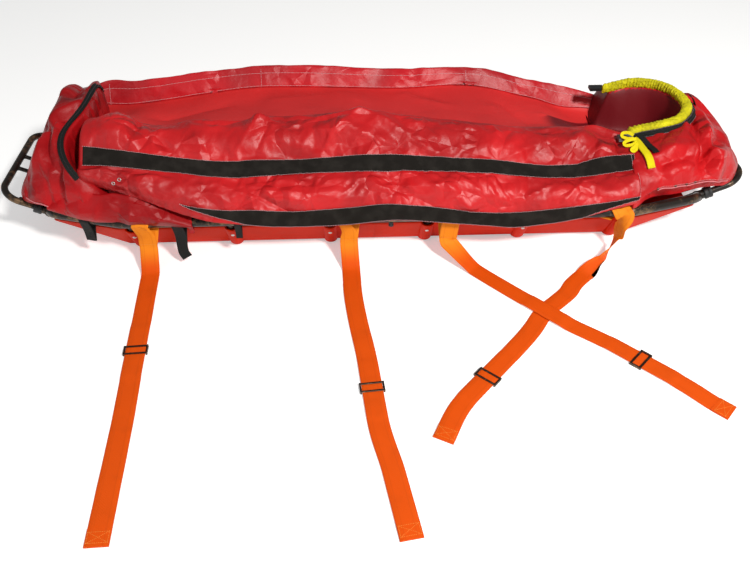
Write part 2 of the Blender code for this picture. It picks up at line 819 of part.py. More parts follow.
def far_flap(mat):
    sections = []
    hem = RAIL_Z - RAIL_R
    for x in bag_stations():
        foot = Vector((BAND_Y, band_foot_z(x)))
        top = Vector((BAND_Y + BAND_LEAN, band_top_z(x)))
        inner = rail_cover(1, hem)
        turn = min(BAND_TURN_HIGH, top.y - BAND_TURN_IN / 2)
        line = [foot, top, top + Vector((BAND_TURN_IN, -BAND_TURN_IN * 0.4)), Vector((HEM_Y, turn))]
        line += [Vector((HEM_Y, hem))] + inner
        sections.append([(x, p.x, p.y) for p in line])
    return smooth(loft("far_flap", sections, mat), 50)


def pocket_shape(x):
    # half width, top and underside of the bag's foot end
    share = (abs(x) - abs(BAG_FOOT_X)) / (POCKET_END_X - abs(BAG_FOOT_X))
    half = POCKET_HALF * along(share, POCKET_LINE)
    top = POCKET_HIGH * along(share, POCKET_LINE, 2)
    return half, top, end_floor(x) + WEB_THICK + 2 * FIT


def cover_shape(x):
    # half width, top and underside of the bag's head end
    share = (x - BAG_HEAD_X) / (COVER_END_X - BAG_HEAD_X)
    half = COVER_HALF * along(share, COVER_LINE)
    top = COVER_HIGH * along(share, COVER_LINE, 2)
    return half, top, end_floor(x)


def end_floor(x):
    # the bag's ends rest on the rails and clear the carrying loops as they slide
    return max(RAIL_TOP_Z + FIT, slope_z(x) + (LEG_R + 4 * FIT) / math.cos(SLOPE))


def arch_height(shape, y):
    half, top, floor = shape
    share = min(abs(y) / half, 1.0)
    rise = math.sqrt(max(0.0, 1 - share ** (2 / ARCH_POWER)))
    return floor + (top - floor) * rise ** ARCH_POWER


def arch_section(x, shape, steps):
    half, top, floor = shape
    section = []
    for i in range(steps + 1):
        a = math.pi * i / steps
        across = math.copysign(abs(math.cos(a)) ** ARCH_POWER, -math.cos(a)) if abs(math.cos(a)) > 1e-9 else 0.0
        rise = math.sin(a) ** ARCH_POWER if 0 < i < steps else 0.0
        section.append((x, half * across, floor + (top - floor) * rise))
    return section


def foot_pocket(mat):
    low = abs(BAG_FOOT_X) + BAG_GAP / 2
    shares = [0, 0.21, 0.43, 0.6, 0.72, 0.83, 0.91, 1]
    stations = [low + (POCKET_END_X - low) * share for share in shares]
    sections = [arch_section(-x, pocket_shape(x), 12) for x in stations]
    return smooth(loft("foot_pocket", sections, mat), 50)


def head_cover(mat):
    low = BAG_HEAD_X + BAG_GAP / 2
    shares = [0, 0.14, 0.28, 0.42, 0.56, 0.64, 0.72, 0.83, 0.92, 1]
    stations = [low + (COVER_END_X - low) * share for share in shares]
    sections = [arch_section(x, cover_shape(x), 14) for x in stations]
    body = smooth(loft("head_cover", sections, mat), 50)
    cuts = [hood_hollow("cover_hollow")]
    cuts.append(neck_tube("neck_groove", neck_path(), NECK_HALF_WIDE, NECK_HALF_HIGH, BAG_GAP, None))
    cuts.append(neck_tube("zip_groove", zip_path(), ZIP_HALF_WIDE, ZIP_HALF_HIGH, BAG_GAP, None))
    return combine(body, cuts, "DIFFERENCE")


def hood_hollow(name):
    # the hollow under the hood, where the casualty's head shows
    mesh = bpy.data.meshes.new(name)
    bm = bmesh.new()
    bmesh.ops.create_icosphere(bm, subdivisions=2, radius=1.0)
    bm.to_mesh(mesh)
    bm.free()
    mesh.transform(Matrix.Diagonal((HOOD_HALF_X, HOOD_HALF_Y, HOOD_DEEP, 1.0)))
    mesh.transform(Matrix.Rotation(HOOD_TURN, 4, "Z"))
    mesh.transform(Matrix.Translation((HOOD_X, HOOD_Y, HOOD_Z)))
    obj = bpy.data.objects.new(name, mesh)
    bpy.context.scene.collection.objects.link(obj)
    return obj


def smooth_curve(points, steps):
    # Catmull-Rom curve through the points
    points = [Vector(p) for p in points]
    ends = [points[0] * 2 - points[1]] + points + [points[-1] * 2 - points[-2]]
    curve = []
    for a, b, c, d in zip(ends, ends[1:], ends[2:], ends[3:]):
        for i in range(steps):
            t = i / steps
            curve.append(
                0.5 * (2 * b + (c - a) * t + (2 * a - 5 * b + 4 * c - d) * t * t + (3 * b - a - 3 * c + d) * t ** 3)
            )
    curve.append(points[-1])
    return curve


def neck_plan():
    plan = [(NECK_START_X + NECK_REACH * a, NECK_MIDDLE_Y + NECK_SPREAD_Y * b, 0.0) for a, b in NECK_LINE]
    return smooth_curve(plan, 2)


def on_cover(plan, rise):
    return [Vector((p.x, p.y, arch_height(cover_shape(p.x), p.y) + rise)) for p in plan]


def neck_path():
    return on_cover(neck_plan(), NECK_RISE)


def zip_path():
    # runs outside the collar, along its near half
    plan = neck_plan()
    plan = plan[: len(plan) // 2 + 3]
    out = []
    for i, p in enumerate(plan):
        ahead = plan[min(i + 1, len(plan) - 1)] - plan[max(i - 1, 0)]
        away = Vector((ahead.y, -ahead.x, 0.0)).normalized()
        out.append(p + away * ZIP_OFFSET)
    return on_cover(out, 0.0)


def neck_tube(name, path, half_wide, half_high, grow, mat):
    outline = circle(half_wide + grow, LOOP_SIDES, half_high + grow)
    if grow:
        path = [path[0] * 2 - path[1]] + path + [path[-1] * 2 - path[-2]]
    verts, faces = sweep(path, outline)
    return smooth(solid(name, verts, faces, mat))


def ribbon(name, path, crosswise, width, thick, mat):
    # flat webbing along a path; crosswise gives the way across at each point
    verts = []
    for i, point in enumerate(path):
        tangent = (path[min(i + 1, len(path) - 1)] - path[max(i - 1, 0)]).normalized()
        across = crosswise[i] - tangent * crosswise[i].dot(tangent)
        across.normalize()
        normal = tangent.cross(across)
        for a, b in ((-1, -1), (1, -1), (1, 1), (-1, 1)):
            p = point + across * (a * width / 2) + normal * (b * thick / 2)
            verts.append(Vector((p.x, p.y, max(p.z, 0.0))))
    last = (len(path) - 1) * 4
    faces = [(0, 1, 2, 3), (last, last + 1, last + 2, last + 3)]
    for i in range(len(path) - 1):
        for j in range(4):
            k = (j + 1) % 4
            faces.append((i * 4 + j, i * 4 + k, (i + 1) * 4 + k, (i + 1) * 4 + j))
    return solid(name, verts, faces, mat)


def tape(name, place, first_x, last_x, mat):
    # a strip on one straight stretch of the flap's outline
    sections = []
    for x in bag_stations():
        if not first_x <= x <= last_x:
            continue
        face = flap_face(x)
        low, high = face[place], face[place + 1]
        way = (high - low).normalized()
        out = Vector((-way.y, way.x))
        start = low + way * ((high - low).length - TAPE_WIDTH) / 2
        stop = start + way * TAPE_WIDTH
        corners = [start + out * TAPE_GAP, stop + out * TAPE_GAP]
        corners += [stop + out * (TAPE_GAP + TAPE_THICK), start + out * (TAPE_GAP + TAPE_THICK)]
        sections.append([(x, p.x, p.y) for p in corners])
    return loft(name, sections, mat)


def pull(name, x, first_in, last_in, mat):
    # webbing pull that lies down the near side of the head cover
    steps = 7
    rise = 2 * BAG_GAP + PULL_THICK
    plan = [Vector((x, first_in + (last_in - first_in) * i / steps - COVER_HALF, 0.0)) for i in range(steps + 1)]
    path = on_cover(plan, rise)
    return ribbon(name, path, [Vector((1, 0, 0))] * len(path), PULL_WIDTH, PULL_THICK, mat)


def web_eye(name, x, width, thick, centre_y, turn, mat):
    # folded webbing round the near rail, sewn below it
    inner = bored(RAIL_R, RAIL_SIDES)
    outer = inner + thick
    low = centre_y - EYE_OUT
    angles = [math.radians(-15 + 210 * i / 8) for i in range(9)]
    inner_line = [(centre_y + inner * math.cos(a), RAIL_Z + inner * math.sin(a)) for a in angles]
    inner_line += [(low - FIT, EYE_SEWN_Z), (low + FIT, EYE_SEWN_Z)]
    outer_line = [(centre_y + outer * math.cos(a), RAIL_Z + outer * math.sin(a)) for a in angles]
    outer_line += [(low - thick, EYE_SEWN_Z - EYE_LAP), (low + thick, EYE_SEWN_Z - EYE_LAP)]
    count = len(inner_line)
    verts = []
    for line in (outer_line, inner_line):
        for side in (-1, 1):
            for y, z in line:
                offset = Matrix.Rotation(turn, 3, "Z") @ Vector((side * width / 2, y - centre_y, 0.0))
                verts.append(Vector((x + offset.x, centre_y + offset.y, z)))
    faces = []
    for j in range(count):
        k = (j + 1) % count
        faces.append((j, k, count + k, count + j))
        faces.append((2 * count + j, 3 * count + j, 3 * count + k, 2 * count + k))
        faces.append((j, 2 * count + j, 2 * count + k, k))
        faces.append((count + j, count + k, 3 * count + k, 3 * count + j))
    return solid(name, verts, faces, mat)


def on_ground(place):
    x, out = place
    return Vector((x, -RAIL_Y - out, 0.0))


def slide_line(name):
    # middle of the slide and the strap's direction there
    touch, middle = (on_ground(place) for place in STRAPS[name][1:3])
    return middle, (middle - touch).normalized()


def crossing():
    # where strap 3 lies over strap 4
    a, u = slide_line("strap_3")
    b, v = slide_line("strap_4")
    t = ((b.x - a.x) * v.y - (b.y - a.y) * v.x) / (u.x * v.y - u.y * v.x)
    return a + u * t


def ramp(distance, half, run):
    # 1 on the raised stretch, easing to 0 over the run
    t = min(max((abs(distance) - half) / run, 0.0), 1.0)
    return (1 + math.cos(math.pi * t)) / 2


def resampled(path, step):
    lengths = [0.0]
    for a, b in zip(path, path[1:]):
        lengths.append(lengths[-1] + (b - a).length)
    count = max(2, round(lengths[-1] / step))
    out = []
    for i in range(count + 1):
        at = lengths[-1] * i / count
        j = min(max(int(np.searchsorted(lengths, at)), 1), len(path) - 1)
        share = (at - lengths[j - 1]) / max(lengths[j] - lengths[j - 1], 1e-9)
        out.append(path[j - 1].lerp(path[j], share))
    return out


def strap(name, mat):
    eye_x = STRAPS[name][0]
    centre, way = slide_line(name)
    low = -RAIL_Y - EYE_OUT
    half = WEB_THICK / 2
    straight = SLIDE_TRAVEL + 1.5 * SLIDE_LENGTH
    touch, free_end = (on_ground(STRAPS[name][i]) for i in (1, 3))
    floor = [touch, centre - way * straight, centre + way * straight, free_end]
    floor = [Vector((p.x, p.y, half)) for p in floor]
    head = [Vector((eye_x, low, EYE_SEWN_Z - EYE_LAP / 3))]
    head.append(Vector((eye_x, low - WEB_THICK, EYE_SEWN_Z - 2 * EYE_LAP)))
    fall = resampled(rounded_path(head + floor[:2], STRAP_BEND_R, 4), STRAP_STEP * 0.6)
    path = fall + resampled(floor[1:], STRAP_STEP)[1:]
    over = crossing()
    crosswise = []
    lifted = []
    for i, p in enumerate(path):
        share = min(max((EYE_SEWN_Z - EYE_LAP - p.z) / (EYE_SEWN_Z - EYE_LAP - half), 0.0), 1.0)
        ahead = (path[min(i + 1, len(path) - 1)] - path[max(i - 1, 0)])
        ahead.z = 0.0
        flat = Vector((-ahead.y, ahead.x, 0.0)).normalized() if ahead.length > 1e-4 else Vector((1, 0, 0))
        crosswise.append(Vector((1, 0, 0)).lerp(flat, share).normalized())
        lift = STRAP_LIFT * ramp((p - centre).length, straight - SLIDE_LENGTH / 2, SLIDE_LENGTH)
        if name == "strap_3":
            lift = max(lift, (WEB_THICK + FIT) * ramp((p - over).length, CROSSING_HALF, SLIDE_LENGTH))
        lifted.append(p + Vector((0, 0, lift)))
    body = ribbon(name, lifted, crosswise, WEB_WIDTH, WEB_THICK, mat)
    eye = web_eye(f"{name}_eye", eye_x, WEB_WIDTH, WEB_THICK, -RAIL_Y, 0.0, mat)
    return combine(body, [eye], "UNION")


def slide(name, strap_name, mat):
    # three-bar slide: the webbing runs under the outer bars and over the middle one
    centre, way = slide_line(strap_name)
    turn = math.atan2(way.y, way.x)
    matrix = Matrix.Translation(centre) @ Matrix.Rotation(turn, 4, "Z")
    inner = WEB_WIDTH / 2 + 3 * FIT
    outer = inner + SLIDE_SIDE
    reach = SLIDE_LENGTH / 2
    over = STRAP_LIFT + WEB_THICK + FIT
    top = over + SLIDE_FRAME
    body = bevel(box(name, (-reach, inner, 0), (reach, outer, top), mat, matrix), SLIDE_ROUND, 1)
    seat = SLIDE_SIDE / 2
    parts = [box(f"{name}_rail", (-reach, -outer, 0), (reach, -inner, top), mat, matrix)]
    for side in (-1, 1):
        edge = reach - SLIDE_SET_BACK
        near, far = sorted((side * edge, side * (edge - SLIDE_BAR)))
        low, high = (near, -inner - seat, over), (far, inner + seat, top - FIT)
        parts.append(box(f"{name}_bar_{side}", low, high, mat, matrix))
    middle = SLIDE_BAR / 2
    low, high = (-middle, -inner - seat, FIT), (middle, inner + seat, SLIDE_CORE)
    parts.append(box(f"{name}_core", low, high, mat, matrix))
    for part in parts:
        bevel(part, SLIDE_ROUND, 1)
    combine(body, parts, "UNION")
    return set_origin(body, centre)


def hanging_tail(mat):
    low = -RAIL_Y - EYE_OUT
    path = [Vector((HANG_X, low, EYE_SEWN_Z - EYE_LAP / 3)), Vector((HANG_X, low - EYE_OUT, HANG_END_Z))]
    body = ribbon("hanging_tail", path, [Vector((1, 0, 0))] * 2, HANG_WIDTH, WEB_THICK, mat)
    eye = web_eye("hanging_tail_eye", HANG_X, HANG_WIDTH, WEB_THICK, -RAIL_Y, 0.0, mat)
    return combine(body, [eye], "UNION")


def foot_lashing(mat):
    x = -(RAIL_TAPER_X + RAIL_BEND_X) / 2
    centre_y = -(RAIL_Y + RAIL_BEND_Y) / 2
    turn = -math.atan2(RAIL_Y - RAIL_BEND_Y, RAIL_BEND_X - RAIL_TAPER_X)
    return web_eye("foot_lashing", x, HANG_WIDTH, WEB_THICK, centre_y, turn, mat)


def buckle_seat(side):
    # the buckles lie in line with the collar's two ends
    path = neck_path()
    end, inner = (path[0], path[1]) if side < 0 else (path[-1], path[-2])
    way = (end - inner).normalized()
    half_wide = min(NECK_HALF_WIDE, BUCKLE_WIDTH / 2)
    half_high = min(NECK_HALF_HIGH, BUCKLE_HEIGHT / 2)
    lean = half_wide * abs(way.y) + half_high * abs(way.z)
    return Vector((end.x - lean - FIT, end.y, end.z))


def buckle_socket(name, side, mat):
    seat = buckle_seat(side)
    half = BUCKLE_WIDTH / 2
    high = BUCKLE_HEIGHT / 2
    body = box(name, seat - Vector((BUCKLE_LENGTH, half, high)), seat + Vector((0, half, high)), mat)
    slot = box(
        f"{name}_slot",
        seat - Vector((BUCKLE_LENGTH + high, half - BUCKLE_WALL, high - BUCKLE_WALL)),
        seat + Vector((PRONG_LENGTH - BUCKLE_LENGTH + FIT, half - BUCKLE_WALL, high - BUCKLE_WALL)),
        mat,
    )
    return combine(body, [slot], "DIFFERENCE")


def buckle_plug(name, side, mat):
    seat = buckle_seat(side) - Vector((BUCKLE_LENGTH, 0, 0))
    half = BUCKLE_WIDTH / 2
    high = BUCKLE_HEIGHT / 2
    body = box(name, seat - Vector((TAB_LENGTH, half, high)), seat + Vector((-FIT, half, high)), mat)
    room = half - BUCKLE_WALL - FIT
    thick = high - BUCKLE_WALL - FIT
    prong = room * 0.5
    parts = []
    for where in (-1, 1):
        low, top = sorted((where * room, where * (room - prong)))
        start = seat + Vector((-TAB_LENGTH / 3, low, -thick))
        stop = seat + Vector((PRONG_LENGTH - FIT, top, thick))
        parts.append(box(f"{name}_prong_{where}", start, stop, mat))
    combine(body, parts, "UNION")
    return set_origin(body, seat)


def build():
    clear_scene()
    black_tube = finish("black_tube", (0.012, 0.011, 0.011), 0.32, 0.6)
    orange_shell = finish("orange_shell", (0.66, 0.03, 0.004), 0.38)
    steel = finish("steel", (0.45, 0.45, 0.46), 0.3, 1.0)
    black_plastic = finish("black_plastic", (0.02, 0.02, 0.022), 0.45)
    red_fabric = finish("red_fabric", (0.52, 0.012, 0.02), 0.38)
    foam = finish("mattress_cover", (0.05, 0.05, 0.055), 0.8)
    loop_tape = finish("loop_tape", (0.012, 0.014, 0.013), 0.9)
    yellow = finish("yellow_padding", (0.72, 0.68, 0.02), 0.7)
    black_web = finish("black_webbing", (0.015, 0.015, 0.016), 0.8)
    orange_web = finish("orange_webbing", (0.83, 0.12, 0.003), 0.65)
    gunmetal = finish("gunmetal", (0.09, 0.07, 0.06), 0.35, 0.9)

    number = 1
    for label, end in (("foot", -1), ("head", 1)):
        half_frame(label, end, black_tube)
        half_shell(label, end, orange_shell)
        carrying_loop(label, end, black_tube)
        for side_name, side in (("near", -1), ("far", 1)):
            sleeve_collar(f"{label}_{side_name}_sleeve_collar", end, side, black_plastic)
        for x in hoop_stations(end):
            for side in (-1, 1):
                shell_rivet(f"shell_rivet_{number:02d}", x, side, steel)
                number += 1
    for side_name, side in (("near", -1), ("far", 1)):
        spigot(f"{side_name}_spigot", side, steel)
        coupling_pin(f"{side_name}_coupling_pin", side, black_plastic)
        spigot_rivet(f"{side_name}_spigot_rivet", side, steel)
        buckle_socket(f"{side_name}_buckle_socket", side, black_plastic)
        buckle_plug(f"{side_name}_buckle_plug", side, black_plastic)

    mattress(foam)
    bag_body(red_fabric)
    near_flap(red_fabric)
    far_flap(red_fabric)
    foot_pocket(red_fabric)
    head_cover(red_fabric)
    stations = bag_stations()
    tape("upper_tape", 3, stations[0], stations[-1], loop_tape)
    tape("lower_tape", 0, stations[2], stations[-2], loop_tape)
    neck_tube("hood_collar", neck_path(), NECK_HALF_WIDE, NECK_HALF_HIGH, 0.0, yellow)
    neck_tube("hood_zip", zip_path(), ZIP_HALF_WIDE, ZIP_HALF_HIGH, 0.0, black_web)
    pull("black_pull", BLACK_PULL_X, PULL_TOP_IN, BLACK_PULL_LOW_IN, black_web)
    pull("yellow_pull", YELLOW_PULL_X, PULL_TOP_IN, YELLOW_PULL_LOW_IN, yellow)

    for i, name in enumerate(STRAPS):
        strap(name, orange_web)
        slide(f"slide_{i + 1}", name, gunmetal)
    hanging_tail(black_web)
    foot_lashing(black_web)


build()
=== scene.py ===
import bpy
import bmesh
import math
import numpy as np
from mathutils import Matrix, Vector, noise as fieldNoise


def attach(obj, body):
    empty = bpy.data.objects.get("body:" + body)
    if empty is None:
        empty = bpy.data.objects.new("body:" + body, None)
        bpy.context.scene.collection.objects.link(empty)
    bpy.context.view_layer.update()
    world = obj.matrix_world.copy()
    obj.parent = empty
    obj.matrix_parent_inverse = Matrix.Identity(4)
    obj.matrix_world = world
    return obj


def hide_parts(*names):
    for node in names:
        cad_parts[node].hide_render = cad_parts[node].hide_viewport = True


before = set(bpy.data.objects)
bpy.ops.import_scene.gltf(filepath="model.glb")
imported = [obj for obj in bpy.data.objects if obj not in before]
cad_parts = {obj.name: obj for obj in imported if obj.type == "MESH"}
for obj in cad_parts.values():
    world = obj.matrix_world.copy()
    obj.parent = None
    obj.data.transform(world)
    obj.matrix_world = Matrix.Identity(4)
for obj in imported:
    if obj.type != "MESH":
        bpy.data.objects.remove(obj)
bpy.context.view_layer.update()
scene = bpy.context.scene
print("packed model loaded,", len(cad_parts), "nodes")


def setAll(target, settings):
    for label, value in (settings or {}).items():
        setattr(target, label, value)


class Wire:
    # one shader socket, used in Python expressions
    def __init__(self, graph, socket):
        self.graph = graph
        self.socket = socket

    def maths(self, operation, *others):
        return self.graph.node("ShaderNodeMath", {"operation": operation}, [self, *others])

    def flipped(self, operation, other):
        return self.graph.node("ShaderNodeMath", {"operation": operation}, [other, self])

    def __add__(self, other):
        return self.maths("ADD", other)

    def __radd__(self, other):
        return self.flipped("ADD", other)

    def __sub__(self, other):
        return self.maths("SUBTRACT", other)

    def __rsub__(self, other):
        return self.flipped("SUBTRACT", other)

    def __mul__(self, other):
        return self.maths("MULTIPLY", other)

    def __pow__(self, other):
        return self.maths("POWER", other)

    def __abs__(self):
        return self.maths("ABSOLUTE")

    def sine(self):
        return self.maths("SINE")

    def spread(self, low, high, first=0.0, last=1.0):
        # eased from first at low to last at high
        settings = {"interpolation_type": "SMOOTHSTEP"}
        return self.graph.node("ShaderNodeMapRange", settings, [self, low, high, first, last])


class Finish:
    # one material; node() is the only way that a node is made
    def __init__(self, name, colour, roughness, metallic=0.0, **fixed):
        self.material = bpy.data.materials.new(name)
        self.material.use_nodes = True
        self.tree = self.material.node_tree
        self.shader = self.tree.nodes["Principled BSDF"]
        self.put("Base Color", colour)
        self.put("Roughness", roughness)
        self.put("Metallic", metallic)
        for label, value in fixed.items():
            self.put(label.replace("_", " "), value)

    def feed(self, socket, value):
        if isinstance(value, Wire):
            self.tree.links.new(value.socket, socket)
        elif isinstance(value, (tuple, list)) and len(value) == 3 and socket.type == "RGBA":
            socket.default_value = (*value, 1.0)
        else:
            socket.default_value = value

    def node(self, kind, settings=None, values=(), output=0):
        made = self.tree.nodes.new(kind)
        setAll(made, settings)
        pairs = values.items() if isinstance(values, dict) else enumerate(values)
        for key, value in pairs:
            self.feed(made.inputs[key], value)
        return Wire(self, made.outputs[output])

    def put(self, label, value):
        self.feed(self.shader.inputs[label], value)

    def place(self, kind="Object"):
        return self.node("ShaderNodeTexCoord", output=kind)

    def stretched(self, scale, rotation=(0, 0, 0)):
        values = {"Vector": self.place(), "Scale": scale, "Rotation": rotation}
        return self.node("ShaderNodeMapping", {"vector_type": "POINT"}, values)

    def parts(self, vector):
        apart = self.node("ShaderNodeSeparateXYZ", values=[vector]).socket.node
        return [Wire(self, socket) for socket in apart.outputs]

    def cloud(self, scale, detail=3.0, rough=0.5, vector=None, twist=0.0):
        values = {"Vector": vector or self.place(), "Scale": scale, "Detail": detail, "Roughness": rough}
        values["Distortion"] = twist
        return self.node("ShaderNodeTexNoise", {}, values)

    def crease(self, scale, detail, vector=None):
        # 0 to 1, with sharp crests where the noise passes its middle
        return 1.0 - abs(self.cloud(scale, detail, 0.45, vector, 0.6) * 2.0 - 1.0)

    def cells(self, scale, vector=None, feature="F1"):
        values = {"Vector": vector or self.place(), "Scale": scale}
        return self.node("ShaderNodeTexVoronoi", {"feature": feature}, values)

    def facets(self, scale, vector, bend):
        # flat planes that meet in sharp lines, as in stiff coated cloth
        drift = self.node("ShaderNodeTexNoise", {}, {"Vector": vector, "Scale": scale * 0.9, "Detail": 1.0}, "Color")
        bent = self.node("ShaderNodeVectorMath", {"operation": "MULTIPLY_ADD"}, [drift, (bend, bend, bend), vector])
        return self.cells(scale, bent, "DISTANCE_TO_EDGE")

    def blend(self, factor, first, second):
        return self.node("ShaderNodeMix", {"data_type": "RGBA"}, {0: factor, 6: first, 7: second}, output=2)

    def patched(self, first, second, scale, detail, low, high):
        # from the first colour to the second in soft patches
        return self.blend(self.cloud(scale, detail).spread(low, high), first, second)

    def relief(self, height, depth, under=None):
        values = {"Height": height, "Distance": depth}
        if under is not None:
            values["Normal"] = under
        bump = self.node("ShaderNodeBump", {}, values)
        self.put("Normal", bump)
        return bump


def toned(colour, share, lift=0.0):
    return tuple(c * share + lift for c in colour)


weaveScale = 1400.0  # noise cells per metre that stand for the coated cloths' weave


def coatedCloth(name, colour, fold=1.0, dark=0.72, shine=0.42):
    # nylon with a satin coat: long planes that meet in sharp folds, short ones in patches, and a faint weave
    cloth = Finish(name, colour, 0.36, Specular_IOR_Level=shine)
    lean = cloth.stretched((0.7, 1.5, 1.2), (0.3, 0.5, 0.6))
    turn = cloth.cloud(5.0, 1.0) * 2.0 - 1.0
    patch = cloth.cloud(7.0, 1.0).spread(0.44, 0.6)
    height = cloth.facets(7.0, lean, 0.06) * (turn * 3.0 + 0.2)
    height = height + cloth.facets(17.0, cloth.place(), 0.015) * patch * 0.45
    folds = cloth.relief(height * fold + cloth.cloud(60.0, 2.0) * 0.03, 0.048)
    cloth.relief(cloth.cloud(weaveScale, 0.0), 0.00015, folds)
    cloth.put("Base Color", cloth.patched(toned(colour, dark), colour, 5.0, 2.0, 0.36, 0.6))
    cloth.put("Roughness", 0.35 + cloth.cloud(18.0, 2.0) * 0.14)
    return cloth.material


def smoothCloth(name, colour, hood=None):
    # the plain inner panel, duller and hardly creased; hood is a painted shadow, the darker colour given to a diagonal
    # patch where the hood's shade falls
    cloth = Finish(name, colour, 0.5, Specular_IOR_Level=0.3)
    height = cloth.facets(5.0, cloth.place(), 0.15) * 2.0 + cloth.cloud(60.0, 2.0) * 0.08
    cloth.relief(cloth.cloud(weaveScale, 0.0), 0.0002, cloth.relief(height, 0.003))
    tone = cloth.patched(toned(colour, 0.8), colour, 4.0, 2.0, 0.25, 0.75)
    if hood:
        x, y, _ = cloth.parts(cloth.place())
        # painted shadow: a diagonal patch towards the head end is turned to the hood colour
        tone = cloth.blend((x - y * 2.1).spread(0.295, 0.32) * x.spread(0.5, 0.55), tone, hood)
    cloth.put("Base Color", tone)
    cloth.put("Roughness", 0.44 + cloth.cloud(25.0, 2.0) * 0.14)
    return cloth.material


def pileCloth(name, colour):
    # loop pile of the fastening tapes
    cloth = Finish(name, colour, 0.95, Specular_IOR_Level=0.12)
    cloth.relief(cloth.cells(900.0), 0.0009, cloth.relief(cloth.cloud(45.0, 3.0), 0.0016))
    cloth.put("Base Color", cloth.patched(colour, toned(colour, 1.6, 0.002), 30.0, 3.0, 0.4, 0.75))
    return cloth.material


def wovenWeb(name, colour, edge, high=None):
    # webbing on its own UV map, u along it and v across it, in metres; high is a lighter colour painted on it above the
    # floor, a painted highlight where it stands up into the light
    pick, end, row = 0.0014, 0.0014 * 1.7, 0.006  # pitches of the weave
    web = Finish(name, colour, 0.6, Specular_IOR_Level=0.2)
    u, v, _ = web.parts(web.place("UV"))
    picks = (u * (2 * math.pi / pick)).sine() * 0.5 + 0.5
    ends = (v * (2 * math.pi / end)).sine() * 0.5 + 0.5
    rows = abs(((u + abs(v)) * (math.pi / row)).sine())
    web.relief(picks * ends + rows * 0.35, 0.0005)
    outer = abs(v).spread(edge - 0.0028, edge - 0.0012)
    stripe = abs(abs(v) - edge * 0.52).spread(0.0006, 0.0016, 1.0, 0.0)
    deep = toned(colour, 0.75)
    soiled = web.cloud(14.0, 4.0).spread(0.5, 0.8, 0.0, 0.3)
    top = colour
    # painted highlight: the webbing is turned to the lighter high colour as it rises off the floor
    if high is not None:
        top = web.blend(web.parts(web.place())[2].spread(0.01, 0.06), colour, high)
    tone = web.blend(picks * ends * 0.3, top, deep)
    tone = web.blend(stripe * 0.22 + outer * 0.35, tone, deep)
    web.put("Base Color", web.blend(soiled, tone, toned(deep, 0.85)))
    web.put("Roughness", 0.52 + picks * 0.2)
    return web.material


def paddedCloth(name, colour):
    # the collar's cover, gathered, with a diagonal weave
    cloth = Finish(name, colour, 0.6, Specular_IOR_Level=0.3)
    u, v, w = cloth.parts(cloth.place())
    weave = ((u + w) * 3000.0).sine() * ((v - w) * 3000.0).sine()
    gathers = cloth.crease(60.0, 2.0, cloth.stretched((1.0, 1.0, 0.35)))
    cloth.relief(weave, 0.0002, cloth.relief(gathers ** 2.0 + cloth.cloud(220.0, 2.0) * 0.15, 0.002))
    cloth.put("Base Color", cloth.patched(toned(colour, 0.72), colour, 40.0, 3.0, 0.35, 0.7))
    return cloth.material


def mouldedShell(name, colour, scuffed):
    # satin polyethylene with fine grain and scuffs that lie along the shell
    shell = Finish(name, colour, 0.5, Specular_IOR_Level=0.04)
    grain = shell.cloud(420.0, 2.0)
    shell.relief(grain, 0.00025, shell.relief(shell.cloud(7.0, 2.0), 0.003))
    scuff = shell.cloud(4.0, 5.0, 0.7, shell.stretched((3.0, 60.0, 90.0))).spread(0.62, 0.74)
    low = shell.parts(shell.place())[2].spread(0.002, 0.05, 1.0, 0.15)
    tone = shell.patched(toned(colour, 0.86), colour, 6.0, 3.0, 0.3, 0.7)
    shell.put("Base Color", shell.blend(scuff * low * 0.2, tone, scuffed))
    shell.put("Roughness", 0.44 + scuff * low * 0.3 + grain * 0.06)
    return shell.material


def coatedTube(name, colour, worn):
    # black coat over alloy tube, bronze where it is rubbed
    tube = Finish(name, colour, 0.34, 0.55, Coat_Weight=0.08, Coat_Roughness=0.25, Specular_IOR_Level=0.3)
    rub = tube.cloud(22.0, 5.0, 0.65).spread(0.5, 0.66)
    scratch = tube.crease(70.0, 4.0).spread(0.9, 0.99) * tube.cloud(9.0, 2.0).spread(0.5, 0.65)
    tube.put("Base Color", tube.blend(rub * 0.6 + scratch * 0.4, colour, worn))
    tube.put("Roughness", 0.3 + tube.cloud(55.0, 3.0) * 0.2 + rub * 0.1)
    tube.put("Metallic", 0.3 + rub * 0.6)
    tube.relief(tube.cloud(300.0, 2.0) - scratch * 0.5, 0.0003)
    return tube.material


def metalPart(name, colour, worn):
    part = Finish(name, colour, 0.35, 1.0)
    wear = part.cloud(90.0, 4.0, 0.6).spread(0.5, 0.72)
    part.put("Base Color", part.blend(wear * 0.6, colour, worn))
    part.put("Roughness", 0.27 + part.cloud(160.0, 3.0) * 0.2)
    part.relief(part.cloud(500.0, 2.0), 0.0002)
    return part.material


def plasticPart(name, colour):
    part = Finish(name, colour, 0.45)
    part.relief(part.cells(1500.0), 0.0002)
    dust = part.cloud(35.0, 4.0).spread(0.55, 0.75)
    part.put("Base Color", part.blend(dust * 0.3, colour, toned(colour, 1.6, 0.01)))
    part.put("Roughness", 0.45 + part.cloud(70.0, 2.0) * 0.15)
    return part.material


def threadFinish(name, colour):
    thread = Finish(name, colour, 0.6)
    thread.relief(thread.cloud(2500.0, 1.0), 0.0002)
    thread.put("Base Color", thread.blend(thread.cloud(60.0, 2.0) * 0.5, colour, toned(colour, 0.7)))
    return thread.material


